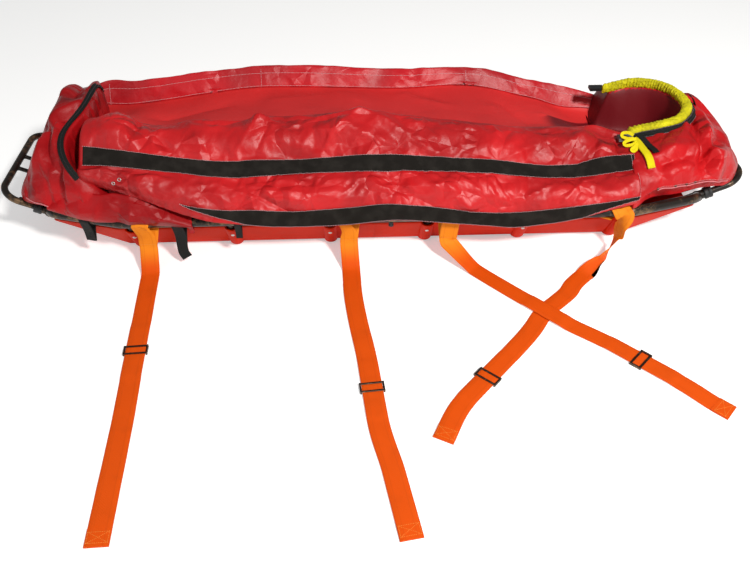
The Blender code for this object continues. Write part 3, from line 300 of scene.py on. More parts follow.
finishes = {
    "flap": coatedCloth("flapCloth", (0.59, 0.008, 0.011), dark=0.7),
    "headCover": coatedCloth("coverCloth", (0.57, 0.007, 0.01), 0.85, shine=0.28),
    # painted shade: the pocket's red cloth is a darker copy of the cover's, for the shade it lies in; the skirt under
    # it shares this finish
    "footPocket": coatedCloth("pocketClothPaintedShade", (0.47, 0.005, 0.008), 0.95, dark=0.66, shine=0.24),
    "band": coatedCloth("bandCloth", (0.56, 0.009, 0.016), 0.55),
    # painted light and shade: the panel's red is lighter than the flap's for the light it catches, with a painted
    # shadow by the hood
    "panel": smoothCloth("panelClothPaintedLightAndShade", (0.8, 0.03, 0.03), hood=(0.17, 0.004, 0.008)),
    # painted shade: the dark red given to the inside of the hood
    "paintedHoodShade": smoothCloth("hoodPaintedShadeCloth", (0.17, 0.004, 0.008)),
    "tape": pileCloth("tapePile", (0.014, 0.012, 0.01)),
    # painted highlight: the straps' webbing is painted a lighter yellow-orange where it rises above the floor
    "orangeWeb": wovenWeb("orangeWebbingPaintedHighlight", (0.86, 0.095, 0.0), 0.025, high=(1.0, 0.3, 0.012)),
    "blackWeb": wovenWeb("blackWebbing", (0.01, 0.011, 0.01), 0.015),
    "yellowWeb": wovenWeb("yellowWebbing", (0.84, 0.7, 0.004), 0.009),
    "yellow": paddedCloth("yellowPadding", (0.8, 0.72, 0.006)),
    "shell": mouldedShell("orangeShell", (0.74, 0.022, 0.0), (0.66, 0.13, 0.07)),
    "tube": coatedTube("blackTube", (0.018, 0.014, 0.011), (0.36, 0.22, 0.12)),
    "gunmetal": metalPart("gunmetal", (0.085, 0.058, 0.042), (0.3, 0.2, 0.13)),
    "steel": metalPart("steel", (0.5, 0.49, 0.47), (0.68, 0.67, 0.65)),
    "black": plasticPart("blackPlastic", (0.01, 0.01, 0.011)),
    "grey": plasticPart("greyPlastic", (0.13, 0.14, 0.14)),
    "piping": threadFinish("hemPiping", (0.74, 0.22, 0.24)),
    "thread": threadFinish("paleThread", (0.76, 0.5, 0.52)),
    "orangeThread": threadFinish("orangeThread", (0.95, 0.42, 0.06)),
    "yellowThread": threadFinish("yellowThread", (0.55, 0.5, 0.02)),
    "pad": coatedCloth("mattressCover", (0.035, 0.036, 0.04), 0.3),
}
print("finishes made,", len(finishes))


sharpAngles = {"hard": math.radians(50), "cloth": math.radians(70)}


def meshOf(name, points, faces=(), edges=()):
    mesh = bpy.data.meshes.new(name)
    mesh.from_pydata([tuple(map(float, p)) for p in points], list(edges), [tuple(map(int, f)) for f in faces])
    return mesh


def linked(name, data):
    made = bpy.data.objects.new(name, data)
    scene.collection.objects.link(made)
    return made


def addPiece(name, points, faces, finish, body="stretcher", uvs=None, flat=False):
    mesh = meshOf(name, points, faces)
    if uvs is not None:
        layer = mesh.uv_layers.new(name="UVMap")
        for corner, index in enumerate(i for face in faces for i in face):
            layer.data[corner].uv = uvs[index]
    mesh.materials.append(finish)
    if not flat:
        mesh.shade_smooth()
        mesh.set_sharp_from_angle(angle=sharpAngles["hard"])
    piece = linked(name, mesh)
    if body:
        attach(piece, body)
    return piece


def gridFaces(rows, columns, ringed=False):
    # ringed joins the last column to the first
    faces = []
    for i in range(rows - 1):
        for j in range(columns if ringed else columns - 1):
            k = (j + 1) % columns
            a, b = i * columns, (i + 1) * columns
            faces.append((a + j, a + k, b + k, b + j))
    return faces


def closedLoft(rings):
    # points and faces of a closed solid through rings of equal count; the ends' middles are its last two points
    rings = np.asarray(rings, float)
    rows, columns = rings.shape[:2]
    points = np.vstack([rings.reshape(-1, 3), rings[0].mean(axis=0), rings[-1].mean(axis=0)])
    faces = gridFaces(rows, columns, True)
    first, last = rows * columns, rows * columns + 1
    for j in range(columns):
        k = (j + 1) % columns
        faces.append((first, k, j))
        faces.append((last, (rows - 1) * columns + j, (rows - 1) * columns + k))
    return points, faces


def outward(piece):
    # turns a closed mesh's faces out
    work = bmesh.new()
    work.from_mesh(piece.data)
    bmesh.ops.recalc_face_normals(work, faces=work.faces)
    work.to_mesh(piece.data)
    work.free()
    return piece


def splineRows(controls, steps):
    # Catmull-Rom rows through the control rows, with steps in each interval
    controls = np.asarray(controls, float)
    ends = np.concatenate([[2 * controls[0] - controls[1]], controls, [2 * controls[-1] - controls[-2]]])
    rows = []
    for a, b, c, d, count in zip(ends, ends[1:], ends[2:], ends[3:], steps):
        for i in range(count):
            t = i / count
            square, cube = 2 * a - 5 * b + 4 * c - d, 3 * b - a - 3 * c + d
            rows.append(0.5 * (2 * b + (c - a) * t + square * t * t + cube * t ** 3))
    rows.append(controls[-1])
    return np.array(rows)


def smoothLine(points, steps):
    return splineRows(points, [steps] * (len(points) - 1))


def runAlong(line):
    # length run from the first point, or down each column of a grid
    steps = np.cumsum(np.linalg.norm(np.diff(line, axis=0), axis=-1), axis=0)
    return np.concatenate([np.zeros_like(steps[:1]), steps])


def spaced(line, count):
    # the same line as count points at equal steps
    run = runAlong(line)
    at = np.linspace(0, run[-1], count)
    return np.stack([np.interp(at, run, line[:, k]) for k in range(line.shape[1])], axis=1)


def evenly(line, step):
    line = np.asarray(line, float)
    return spaced(line, max(3, int(runAlong(line)[-1] / step)))


def averaged(values, count):
    # running mean over count values
    return np.convolve(np.pad(values, count // 2, mode="edge"), np.ones(count) / count, mode="valid")


def roundedLine(corners, radius, steps):
    corners = [Vector(c) for c in corners]
    line = [corners[0]]
    for before, corner, after in zip(corners, corners[1:], corners[2:]):
        wayIn = (before - corner).normalized()
        wayOut = (after - corner).normalized()
        half = wayIn.angle(wayOut) / 2
        reach = min(radius / math.tan(half), 0.49 * (before - corner).length, 0.49 * (after - corner).length)
        middle = corner + (wayIn + wayOut).normalized() * (reach * math.tan(half) / math.sin(half))
        start = corner + wayIn * reach - middle
        axis = start.cross(corner + wayOut * reach - middle).normalized()
        for i in range(steps + 1):
            line.append(middle + Matrix.Rotation((math.pi - 2 * half) * i / steps, 3, axis) @ start)
    line.append(corners[-1])
    return np.array([tuple(p) for p in line])


def unit(vectors):
    return vectors / np.maximum(np.linalg.norm(vectors, axis=-1, keepdims=True), 1e-9)


def wayAlong(line):
    return unit(np.gradient(line, axis=0))


def squared(across, way):
    # crosswise directions made square to the line's own
    return unit(across - way * (across * way).sum(axis=1, keepdims=True))


def lineFrames(line):
    # side and up at each point, carried along without twist
    tangents = wayAlong(np.asarray(line, float))
    side = np.cross((0, 0, 1), tangents[0])
    if np.linalg.norm(side) < 0.1:
        side = np.cross((1, 0, 0), tangents[0])
    sides = []
    for tangent in tangents:
        side = unit(side - tangent * side.dot(tangent))
        sides.append(side)
    sides = np.array(sides)
    return sides, np.cross(tangents, sides)


def tubeMesh(line, radius, sides):
    # closed tube; radius is one number or one for each point
    line = np.asarray(line, float)
    side, up = lineFrames(line)
    radius = np.broadcast_to(np.asarray(radius, float), len(line))
    turns = np.arange(sides) * 2 * math.pi / sides
    rings = line[:, None] + radius[:, None, None] * (
        np.cos(turns)[None, :, None] * side[:, None] + np.sin(turns)[None, :, None] * up[:, None])
    return closedLoft(rings)


def joined(parts):
    points, faces, base = [], [], 0
    for partPoints, partFaces in parts:
        points.append(np.asarray(partPoints, float))
        faces += [tuple(base + i for i in face) for face in partFaces]
        base += len(partPoints)
    return np.vstack(points), faces


def turnedMesh(profile, start, direction, sides):
    # a closed profile of (radius, distance) turned about the line from start
    turn = Vector((0, 0, 1)).rotation_difference(Vector(direction)).to_matrix()
    points = []
    for radius, distance in profile:
        for i in range(sides):
            a = 2 * math.pi * i / sides
            points.append(Vector(start) + turn @ Vector((radius * math.cos(a), radius * math.sin(a), distance)))
    total = len(points)
    faces = [tuple(i % total for i in face) for face in gridFaces(len(profile) + 1, sides, True)]
    return np.array([tuple(p) for p in points]), faces


def along(x, table, column=1):
    # smooth reading of a table of (place, value)
    places = np.array([row[0] for row in table])
    values = np.array([row[column] for row in table])
    x = np.atleast_1d(np.asarray(x, float))
    slopes = np.gradient(values, places)
    i = np.clip(np.searchsorted(places, x) - 1, 0, len(places) - 2)
    gap = places[i + 1] - places[i]
    t = np.clip((x - places[i]) / gap, 0, 1)
    return (values[i] * (1 + 2 * t) * (1 - t) ** 2 + slopes[i] * gap * t * (1 - t) ** 2
            + values[i + 1] * t * t * (3 - 2 * t) + slopes[i + 1] * gap * t * t * (t - 1))


def metres(table):
    # a table of rows in millimetres
    return [tuple(value / 1000 for value in row) for row in table]


def foldTable(table, across=1000):
    # folds as (height, width, share of the height left at the end, places), in millimetres except what lies across
    return [(height / 1000, width / 1000, left, [(x / 1000, y / across) for x, y in places])
            for height, width, left, places in table]


def applied(piece):
    # the modifiers' result as a plain mesh
    graph = bpy.context.evaluated_depsgraph_get()
    mesh = bpy.data.meshes.new_from_object(piece.evaluated_get(graph))
    old = piece.data
    piece.modifiers.clear()
    piece.data = mesh
    if old.users == 0:
        bpy.data.meshes.remove(old)
    return piece


def thickened(piece, thickness, bevel=0.0):
    wall = piece.modifiers.new("wall", "SOLIDIFY")
    wall.thickness = thickness
    wall.offset = -1.0
    wall.use_even_offset = True
    if bevel:
        rim = piece.modifiers.new("rim", "BEVEL")
        rim.width = bevel
        rim.segments = 2
        rim.limit_method = "ANGLE"
        rim.angle_limit = sharpAngles["hard"]
    return applied(piece)


def refined(piece):
    mod = piece.modifiers.new("finer", "SUBSURF")
    mod.levels = 1
    mod.render_levels = 1
    return applied(piece)


def roughField(points, scale, seed):
    # smooth noise from -1 to 1 at each point of a plan or of a form
    if points.shape[1] == 2:
        points = np.column_stack([points, np.zeros(len(points))])
    shift = Vector((seed * 7.31, seed * 3.17, seed * 5.53))
    return np.array([fieldNoise.noise(Vector(p) * scale + shift) for p in points])


clothRules = {
    "quality": 6, "mass": 0.25, "tension_stiffness": 40, "compression_stiffness": 40, "shear_stiffness": 15,
    "vertex_group_mass": "held", "air_damping": 2.0,
}


def settled(points, faces, held, grow, frames, cap, stiff, pressure=0.0):
    # cloth that is a little too large for its edges, so that it buckles into folds; cap is the most it moves
    mesh = meshOf("settling", points, faces)
    obj = linked("settling", mesh)
    group = obj.vertex_groups.new(name="held")
    for level in np.unique(np.round(held, 2)):
        if level > 0:
            group.add([int(i) for i in np.nonzero(np.abs(held - level) < 0.006)[0]], float(level), "REPLACE")
    cloth = obj.modifiers.new("cloth", "CLOTH")
    setAll(cloth.settings, clothRules)
    cloth.settings.bending_stiffness = stiff
    cloth.settings.shrink_min = -grow
    cloth.settings.effector_weights.gravity = 0.0
    if pressure:
        cloth.settings.use_pressure = True
        cloth.settings.uniform_pressure_force = pressure
    cloth.collision_settings.use_collision = False
    cloth.collision_settings.use_self_collision = False
    cloth.point_cache.frame_start = 1
    cloth.point_cache.frame_end = frames
    for f in range(1, frames + 1):
        scene.frame_set(f)
    shape = obj.evaluated_get(bpy.context.evaluated_depsgraph_get())
    flat = np.empty(len(shape.data.vertices) * 3)
    shape.data.vertices.foreach_get("co", flat)
    moved = flat.reshape(-1, 3) - points
    far = np.linalg.norm(moved, axis=1, keepdims=True)
    bpy.data.objects.remove(obj, do_unlink=True)
    bpy.data.meshes.remove(mesh)
    scene.frame_set(1)
    return points + moved * np.minimum(1.0, cap / np.maximum(far, 1e-9))


def faceNormals(grid):
    # normals of a grid of points, rows by columns
    return unit(np.cross(np.gradient(grid, axis=1), np.gradient(grid, axis=0)))


def turnedTo(normals, at, facing):
    # all the normals turned over if the one at a place looks away from facing
    return -normals if normals[at] @ np.array(facing, float) < 0 else normals


viewer = {
    "turn": 2.3, "tilt": 40.3, "height": 1.382, "distance": 2.019,
    "focus": 780.0, "photoWide": 750, "sensor": 36.0,  # focus and photoWide in pixels
}


def placeCamera():
    camera = linked("camera", bpy.data.cameras.new("camera"))
    turn = math.radians(viewer["turn"])
    camera.location = (-viewer["distance"] * math.sin(turn), -viewer["distance"] * math.cos(turn), viewer["height"])
    camera.rotation_euler = (math.radians(90 - viewer["tilt"]), 0, -turn)
    camera.data.sensor_width = viewer["sensor"]
    camera.data.lens = viewer["focus"] / viewer["photoWide"] * viewer["sensor"]
    camera.data.clip_start = 0.05
    scene.camera = camera


lamps = {
    "key": {
        "place": (1.6, -2.9, 3.3), "target": (0, -0.1, 0.1), "size": 0.5, "power": 190.0, "colour": (1.0, 0.985, 0.96)},
    "fill": {
        "place": (-3.0, -2.0, 2.2), "target": (0, 0, 0.15), "size": 2.4, "power": 14.0, "colour": (0.95, 0.97, 1.0)},
}
room = {"sky": 0.22, "floorGlow": 0.42, "floorHalf": 14.0}


def addLamp(name, lamp):
    data = bpy.data.lights.new(name, "AREA")
    data.shape = "DISK"
    data.size = lamp["size"]
    data.energy = lamp["power"]
    data.color = lamp["colour"]
    made = linked(name, data)
    made.location = lamp["place"]
    made.rotation_euler = (Vector(lamp["target"]) - Vector(lamp["place"])).to_track_quat("-Z", "Y").to_euler()


def lightRoom():
    for name, lamp in lamps.items():
        addLamp(name, lamp)
    world = bpy.data.worlds.new("room")
    world.use_nodes = True
    world.node_tree.nodes["Background"].inputs["Color"].default_value = (1, 1, 1, 1)
    world.node_tree.nodes["Background"].inputs["Strength"].default_value = room["sky"]
    scene.world = world
    scene.view_settings.view_transform = "Standard"


def layFloor():
    # the floor glows for the rays that see it, not for those that light the scene
    pale = Finish("paleFloor", (0.88, 0.88, 0.87), 0.9)
    pale.put("Base Color", pale.blend(pale.cloud(3.0, 2.0) * 0.2, (0.9, 0.9, 0.89), (0.86, 0.86, 0.85)))
    rays = [pale.node("ShaderNodeLightPath", output=f"Is {ray} Ray") for ray in ("Camera", "Glossy", "Transmission")]
    glow = rays[0].maths("MAXIMUM", rays[1]).maths("MAXIMUM", rays[2]) * room["floorGlow"]
    pale.put("Emission Color", pale.blend(glow, (0.0, 0.0, 0.0), (1.0, 1.0, 1.0)))
    pale.put("Emission Strength", 1.0)
    size = room["floorHalf"]
    points = [(-size, -size, 0), (size, -size, 0), (size, size, 0), (-size, size, 0)]
    floor = addPiece("floor", points, [(0, 1, 2, 3)], pale.material, body=None, flat=True)


placeCamera()
lightRoom()
layFloor()
print("camera, light and floor ready")

tubing = {
    "railRadius": 0.014, "railY": 0.28, "railZ": 0.137, "taperX": 0.7, "bendX": 0.895, "bendY": 0.225, "weldX": 0.925,
    "railEnd": 0.0165, "railWeld": 0.015, "bendRadius": 0.05, "seamX": -0.012, "seamGap": 0.0006, "legY": 0.177,
    "sleeveRadius": 0.0135, "sleeveBore": 0.0099, "sleeveX": (0.765, 0.958), "barX": 0.785, "barRadius": 0.0085,
    "clear": 0.0108, "hoopRadius": 0.009, "hoopWeld": 0.0135, "hoopPitch": 0.272, "hoops": 3,
    "hoopBead": (0.0088, 0.0022), "beadShare": 0.98,
}
shellSizes = {
    "wall": 0.004, "floorHalf": 0.196, "top": 0.105, "flare": 0.648, "corner": 0.035,
    "kickX": 0.715, "tipX": 0.905, "tipZ": 0.085, "ribHalf": 0.018, "ribProud": 0.012,
}
fit = 0.0003
slope = math.atan2(shellSizes["tipZ"], shellSizes["tipX"] - shellSizes["kickX"])
slopeLift = (shellSizes["wall"] + fit + tubing["sleeveRadius"]) / math.cos(slope)
sideNormal = unit(np.array([1.0, -shellSizes["flare"]]))
hoopPlaces = [tubing["hoopPitch"] * (i + 0.5) for i in range(tubing["hoops"])]


def slopeZ(x):
    # height of the loops' tubes, which lie along the shell's sloping ends
    return math.tan(slope) * (abs(x) - shellSizes["kickX"]) + slopeLift


def onSlope(end, x, y):
    return (end * x, y, slopeZ(x))


def weldBead(centre, direction, radius, thick=0.0028):
    # ring of weld round a tube's end; radius and thick are the bead's own
    side, up = lineFrames([centre, np.asarray(centre) + np.asarray(direction, float)])
    turns = np.arange(21) * 2 * math.pi / 20
    ring = np.asarray(centre) + radius * (np.cos(turns)[:, None] * side[0] + np.sin(turns)[:, None] * up[0])
    return tubeMesh(ring, thick * (1 + 0.18 * np.sin(turns * 10)), 8)


def railParts(end, side):
    # one side rail, the sleeve at its end and the weld between them
    t = tubing
    y = side * t["railY"]
    meeting = np.array(onSlope(end, t["weldX"], side * t["legY"]))
    bend = np.array([end * t["bendX"], side * t["bendY"], t["railZ"]])
    out = unit(bend - meeting)
    mouth = [onSlope(end, x, side * t["legY"]) for x in t["sleeveX"]]
    sleeveWay = unit(np.subtract(mouth[1], mouth[0]))
    length = float(np.linalg.norm(np.subtract(mouth[1], mouth[0])))
    rail = [(t["seamX"] + end * t["seamGap"] / 2, y, t["railZ"]), (end * t["taperX"], y, t["railZ"]), bend,
            meeting + out * t["railEnd"]]
    points, faces = tubeMesh(roundedLine(rail, t["bendRadius"], 8), t["railRadius"], 24)
    # the rail's end is cut back so that it stays clear of the sliding leg
    off = unit(out - sleeveWay * (out @ sleeveWay))
    lastRing = np.r_[-26:-2, -1]
    short = t["clear"] - (points[lastRing] - meeting) @ off
    points[lastRing] += out * np.maximum(short, 0)[:, None] / (out @ off)
    ring = [(t["sleeveBore"], 0), (t["sleeveRadius"], 0), (t["sleeveRadius"], length), (t["sleeveBore"], length)]
    return [(points, faces), turnedMesh(ring, mouth[0], sleeveWay, 24),
            weldBead(meeting + out * t["railWeld"], out, t["railRadius"] * t["beadShare"])]


def halfFrame(label, end):
    t, sizes = tubing, shellSizes
    parts = railParts(end, -1) + railParts(end, 1)
    low = sizes["wall"] + fit + t["hoopRadius"]
    inset = (t["hoopRadius"] + sizes["wall"] + 2 * fit - sizes["ribProud"]) / sideNormal[0]
    cornerY = sizes["floorHalf"] + sizes["flare"] * low - inset
    for x in [end * place for place in hoopPlaces]:
        hoop = [(x, -t["railY"], t["railZ"]), (x, -cornerY, low), (x, cornerY, low), (x, t["railY"], t["railZ"])]
        parts.append(tubeMesh(roundedLine(hoop, t["bendRadius"], 8), t["hoopRadius"], 16))
        for side in (-1, 1):
            away = unit(np.array([0, side * (cornerY - t["railY"]), low - t["railZ"]]))
            top = np.array([x, side * t["railY"], t["railZ"]])
            parts.append(weldBead(top + away * t["hoopWeld"], away, *t["hoopBead"]))
    bar = [onSlope(end, t["barX"], side * (t["legY"] - t["clear"])) for side in (-1, 1)]
    parts.append(tubeMesh(np.linspace(bar[0], bar[1], 6), t["barRadius"], 16))
    piece = outward(addPiece(label + "HalfFrame", *joined(parts), finishes["tube"]))
    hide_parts(label + "_half_frame")


loopSizes = {
    "legInner": 0.8, "endX": 1.048, "bend": 0.055, "radius": 0.0095, "braceX": 0.978, "braceLegX": 1.003,
    "braceHalf": 0.148, "braceBend": 0.02, "braceRadius": 0.0075, "rungY": 0.032, "rungRadius": 0.006,
    "rungFootIn": 0.0072, "rungHeadIn": 0.0092, "rungBead": (0.0058, 0.0016),
    "braceWeldX": 0.9965, "braceBead": (0.0072, 0.0018),
}


def carryingLoop(label, end):
    s = loopSizes
    legY = tubing["legY"]
    corners = [onSlope(end, s["legInner"], -legY), onSlope(end, s["endX"], -legY),
               onSlope(end, s["endX"], legY), onSlope(end, s["legInner"], legY)]
    parts = [tubeMesh(roundedLine(corners, s["bend"], 14), s["radius"], 24)]
    brace = [onSlope(end, s["braceLegX"], -legY), onSlope(end, s["braceX"], -s["braceHalf"]),
             onSlope(end, s["braceX"], s["braceHalf"]), onSlope(end, s["braceLegX"], legY)]
    parts.append(tubeMesh(roundedLine(brace, s["braceBend"], 5), s["braceRadius"], 16))
    for side in (-1, 1):
        foot = np.array(onSlope(end, s["braceX"], side * s["rungY"]))
        head = np.array(onSlope(end, s["endX"], side * s["rungY"]))
        parts.append(tubeMesh([foot, head], s["rungRadius"], 14))
        way = unit(head - foot)
        parts.append(weldBead(foot + way * s["rungFootIn"], way, *s["rungBead"]))
        parts.append(weldBead(head - way * s["rungHeadIn"], way, *s["rungBead"]))
        meeting = np.array(onSlope(end, s["braceWeldX"], side * (legY - s["radius"])))
        parts.append(weldBead(meeting, (end * 0.6, side, 0.2), *s["braceBead"]))
    piece = outward(addPiece(label + "CarryingLoop", *joined(parts), finishes["tube"], label + "_handle"))
    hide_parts(label + "_carrying_loop")


collarRing = {
    "radius": 0.0172, "length": 0.022, "lip": 0.003, "bore": 0.0139, "mouth": 0.0102, "round": 0.0016, "groove": 0.0008,
}


def sleeveCollar(label, end, sideName, side):
    s = collarRing
    start = np.array(onSlope(end, tubing["sleeveX"][1], side * tubing["legY"]))
    way = np.array([end * math.cos(slope), 0, math.sin(slope)])
    start = start - way * (s["length"] - s["lip"] - fit)
    r, e, length, groove = s["radius"], s["round"], s["length"], s["radius"] - s["groove"]
    profile = [
        (s["bore"], 0), (r - e, 0), (r - e * 0.3, e * 0.3), (r, e), (r, length * 0.42), (groove, length * 0.46),
        (groove, length * 0.54), (r, length * 0.58), (r, length - s["lip"]), (r - e * 0.3, length - e * 0.3),
        (r - e, length), (s["mouth"], length), (s["mouth"], length - s["lip"]), (s["bore"], length - s["lip"]),
    ]
    ring = turnedMesh(profile, start, way, 36)
    piece = outward(addPiece(label + sideName.title() + "SleeveCollar", *ring, finishes["black"]))
    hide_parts(f"{label}_{sideName}_sleeve_collar")


for label, end in (("foot", -1), ("head", 1)):
    halfFrame(label, end)
    carryingLoop(label, end)
    for sideName, side in (("near", -1), ("far", 1)):
        sleeveCollar(label, end, sideName, side)
print("frame tubes and carrying loops made")


def shellLine(x, bulge, steps=10):
    # half of the outer line from the middle of the floor to the rim, as (y, z)
    s = shellSizes
    rise = max(0.0, abs(x) - s["kickX"]) * math.tan(slope)
    turn = math.atan2(1.0, s["flare"])
    start = s["floorHalf"] - s["corner"] * math.tan(turn / 2)
    line = [(start * t, rise) for t in (0.0, 0.35, 0.7, 0.9)]
    for i in range(steps + 1):
        push = bulge * (1 - math.cos(math.pi * i / steps)) / 2
        radius = s["corner"] + push
        a = turn * i / steps
        line.append((start + radius * math.sin(a), rise + max(0.0, s["corner"] - radius * math.cos(a))))
    y0, z0 = line[-1]
    y1 = s["floorHalf"] + s["flare"] * (s["top"] - rise) + bulge * sideNormal[0]
    z1 = s["top"] + bulge * sideNormal[1]
    for t in (0.3, 0.6, 0.85, 1.0):
        line.append((y0 + (y1 - y0) * t, z0 + (z1 - z0) * t))
    return line


shellPlaces = (0.03, 0.07, 0.2, 0.27, 0.34, 0.48, 0.545, 0.62, 0.705, 0.715, 0.722, 0.75, 0.79, 0.83, 0.87, 0.905)


def halfShell(label, end):
    # stations across the shell as (x, how far the rib swells out)
    s = shellSizes
    stations = [(tubing["seamX"] + end * tubing["seamGap"] / 2, 0.0)] + [(end * x, 0.0) for x in shellPlaces]
    across = np.sin(np.linspace(-1, 1, 15) * math.pi / 2)
    for x in hoopPlaces:
        stations += [(end * (x + s["ribHalf"] * t), s["ribProud"] * (1 - t * t) ** 0.5) for t in across]
        stations += [(end * (x + s["ribHalf"] * t), 0.0) for t in (-1.35, 1.35)]
    grid = []
    for x, bulge in sorted(stations, key=lambda item: end * item[0]):
        line = shellLine(x, bulge)
        grid.append([(x, -y, z) for y, z in reversed(line)] + [(x, y, z) for y, z in line[1:]])
    grid = np.array(grid)
    rows, columns = grid.shape[:2]
    faces = gridFaces(rows, columns)
    if end < 0:
        faces = [face[::-1] for face in faces]
    piece = addPiece(label + "Shell", grid.reshape(-1, 3), faces, finishes["shell"])
    thickened(piece, s["wall"], 0.0008)
    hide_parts(label + "_shell")


halfShell("foot", -1)
halfShell("head", 1)
print("shell halves made")


bag = {
    "footX": -0.775, "headX": 0.7, "columns": 196, "sheet": 0.0012, "rollIn": 0.016, "growth": 0.035, "floorZ": 0.1513,
}
# the last two entries bound the faces of the head cover given the painted shade inside the hood
hollow = {
    "inset": 0.004, "slope": 0.045, "floor": 0.158, "openX": 0.69, "openRun": 0.045, "nearRun": 0.03,
    "steepX": 0.7, "steepRun": 0.08, "paintedShadeShare": 0.97, "paintedShadeTop": 0.3,
}
collarSizes = {
    "startX": 0.708, "reach": 0.192, "middleY": 0.036, "spread": 0.138, "halfWide": 0.0138, "halfHigh": 0.0115,
    "rise": 0.008, "zipOffset": 0.022,
}
collarPlan = [
    (0, -0.988), (0.186, -0.994), (0.442, -1.025), (0.767, -0.85), (1, -0.35),
    (1, 0.213), (0.79, 0.713), (0.442, 0.95), (0.186, 0.988), (0, 0.994),
]


def planLine(offset=0.0):
    # the collar's line from above, moved outwards by the offset
    c = collarSizes
    plan = smoothLine([(c["startX"] + c["reach"] * a, c["middleY"] + c["spread"] * b) for a, b in collarPlan], 14)
    way = wayAlong(plan)
    return plan + np.stack([way[:, 1], -way[:, 0]], axis=1) * offset


# lines of the near flap, lowest first, and of the far flap's hem band, as (x, y, z)
flapHem = metres([
    (-750, -250, 238), (-630, -285, 216), (-520, -306, 178), (-450, -312, 157), (-394, -312, 149), (-283, -312, 136),
    (-216, -312, 134), (-84, -312, 137), (29, -312, 148), (176, -312, 136), (297, -312, 122), (360, -312, 115),
    (432, -312, 120), (541, -312, 139), (627, -302, 158), (700, -290, 168),
])
flapLowTop = metres([
    (-750, -262, 262), (-630, -292, 246), (-500, -303, 204), (-400, -302, 188), (-346, -302, 187), (-214, -302, 181),
    (-83, -302, 189), (29, -302, 197), (96, -302, 190), (174, -302, 180), (295, -302, 162), (393, -302, 162),
    (505, -304, 174), (613, -306, 189), (700, -304, 204),
])
flapUpLow = metres([(x, -237.5, z) for x, z in (
    (-754, 293), (-691, 287), (-564, 268), (-393, 246), (-345, 247), (-24, 256), (56, 254), (297, 241), (482, 222),
    (544, 222), (716, 247),
)])
flapUpTop = metres([(x, -196, z) for x, z in (
    (-772, 329), (-686, 315), (-566, 293), (-394, 274), (-345, 276), (-211, 275), (-23, 286), (58, 284), (181, 271),
    (301, 263), (489, 239), (533, 241), (609, 262), (713, 270),
)])
flapRidge = metres([
    (-751, -95, 352), (-707, -88, 362), (-670, -85, 346), (-655, -85, 336), (-485, -85, 336), (-349, -85, 332),
    (-319, -85, 338), (-211, -85, 341), (-46, -85, 349), (61, -85, 338), (204, -85, 320), (379, -85, 297),
    (537, -85, 291), (645, -87, 288), (700, -95, 275),
])
bandTop = metres([
    (-850, 278, 272), (-837, 282, 275), (-744, 282, 277), (-499, 282, 307), (-387, 282, 317), (89, 282, 301),
    (358, 282, 296), (490, 282, 259), (593, 280, 240), (700, 274, 212), (760, 262, 198),
])
bandLow = metres([
    (-858, 250, 222), (-781, 250, 217), (-653, 250, 229), (-541, 250, 246), (-352, 250, 268), (-227, 250, 267),
    (87, 250, 256), (335, 250, 258), (459, 250, 227), (519, 250, 212), (611, 248, 182), (700, 243, 177),
    (760, 234, 172),
])
# the near flap's folds; their places are (x, from 0 at the hem to 4 at the ridge, over the five lines above)
flapFolds = foldTable([
    (22, 22, 0.4, [(-319, 4.0), (-380, 3.15)]), (-9, 22, 0.5, [(-285, 3.9), (-330, 3.1)]),
    (18, 20, 0.3, [(-319, 4.0), (-260, 3.6), (-210, 3.25)]), (24, 22, 0.4, [(-46, 4.0), (-120, 3.4), (-155, 3.05)]),
    (32, 22, 0.4, [(-46, 4.0), (58, 3.45), (170, 3.0)]), (-14, 24, 0.7, [(-20, 3.75), (70, 3.15)]),
    (10, 30, 0.4, [(10, 3.95), (115, 3.7), (170, 3.2)]), (8, 20, 0.4, [(250, 3.7), (210, 3.1)]),
    (22, 20, 0.5, [(615, 3.95), (560, 3.5), (530, 3.15)]), (-30, 20, 0.7, [(675, 3.5), (665, 3.2)]),
    (-16, 18, 0.6, [(640, 3.7), (565, 3.1), (530, 2.5)]), (6, 14, 0.5, [(-575, 3.5), (-535, 3.1)]),
    (9, 15, 0.5, [(-505, 3.75), (-465, 3.1)]), (7, 13, 0.5, [(-475, 3.95), (-440, 3.5)]),
    (6, 12, 0.5, [(-430, 3.7), (-405, 3.3)]), (20, 45, 1.0, [(-705, 3.65), (-700, 3.5)]),
    (-13, 12, 0.7, [(-652, 4.0), (-645, 3.6), (-668, 3.15)]), (7, 16, 0.6, [(400, 3.3), (470, 3.45), (500, 3.3)]),
    (8, 18, 0.6, [(-270, 1.85), (-170, 1.7), (-160, 1.4), (-230, 1.1)]), (7, 14, 0.5, [(-60, 1.65), (-110, 1.25)]),
    (15, 18, 0.7, [(70, 1.95), (160, 1.5), (245, 1.05)]), (-13, 22, 0.7, [(30, 1.75), (120, 1.1)]),
    (10, 15, 0.6, [(140, 1.95), (245, 1.15)]), (9, 16, 0.6, [(205, 1.95), (330, 1.05)]),
    (7, 13, 0.6, [(310, 1.85), (355, 1.1)]), (11, 18, 0.6, [(500, 1.25), (555, 1.75), (600, 1.95)]),
    (9, 14, 0.6, [(400, 1.4), (475, 1.75)]), (5, 13, 0.5, [(-530, 1.9), (-520, 1.4)]),
    (7, 18, 0.6, [(-420, 1.7), (-300, 1.2)]), (7, 14, 0.5, [(630, 1.9), (665, 1.2)]),
    (-7, 20, 0.8, [(-360, 2.6), (-385, 1.6)]), (-6, 18, 0.8, [(100, 2.9), (130, 2.0), (120, 1.5)]),
    (6, 18, 0.8, [(520, 2.9), (500, 2.1)]), (10, 30, 0.9, [(-100, 3.6), (0, 3.3)]),
    (6, 14, 0.4, [(320, 3.9), (360, 3.4)]),
], 1)


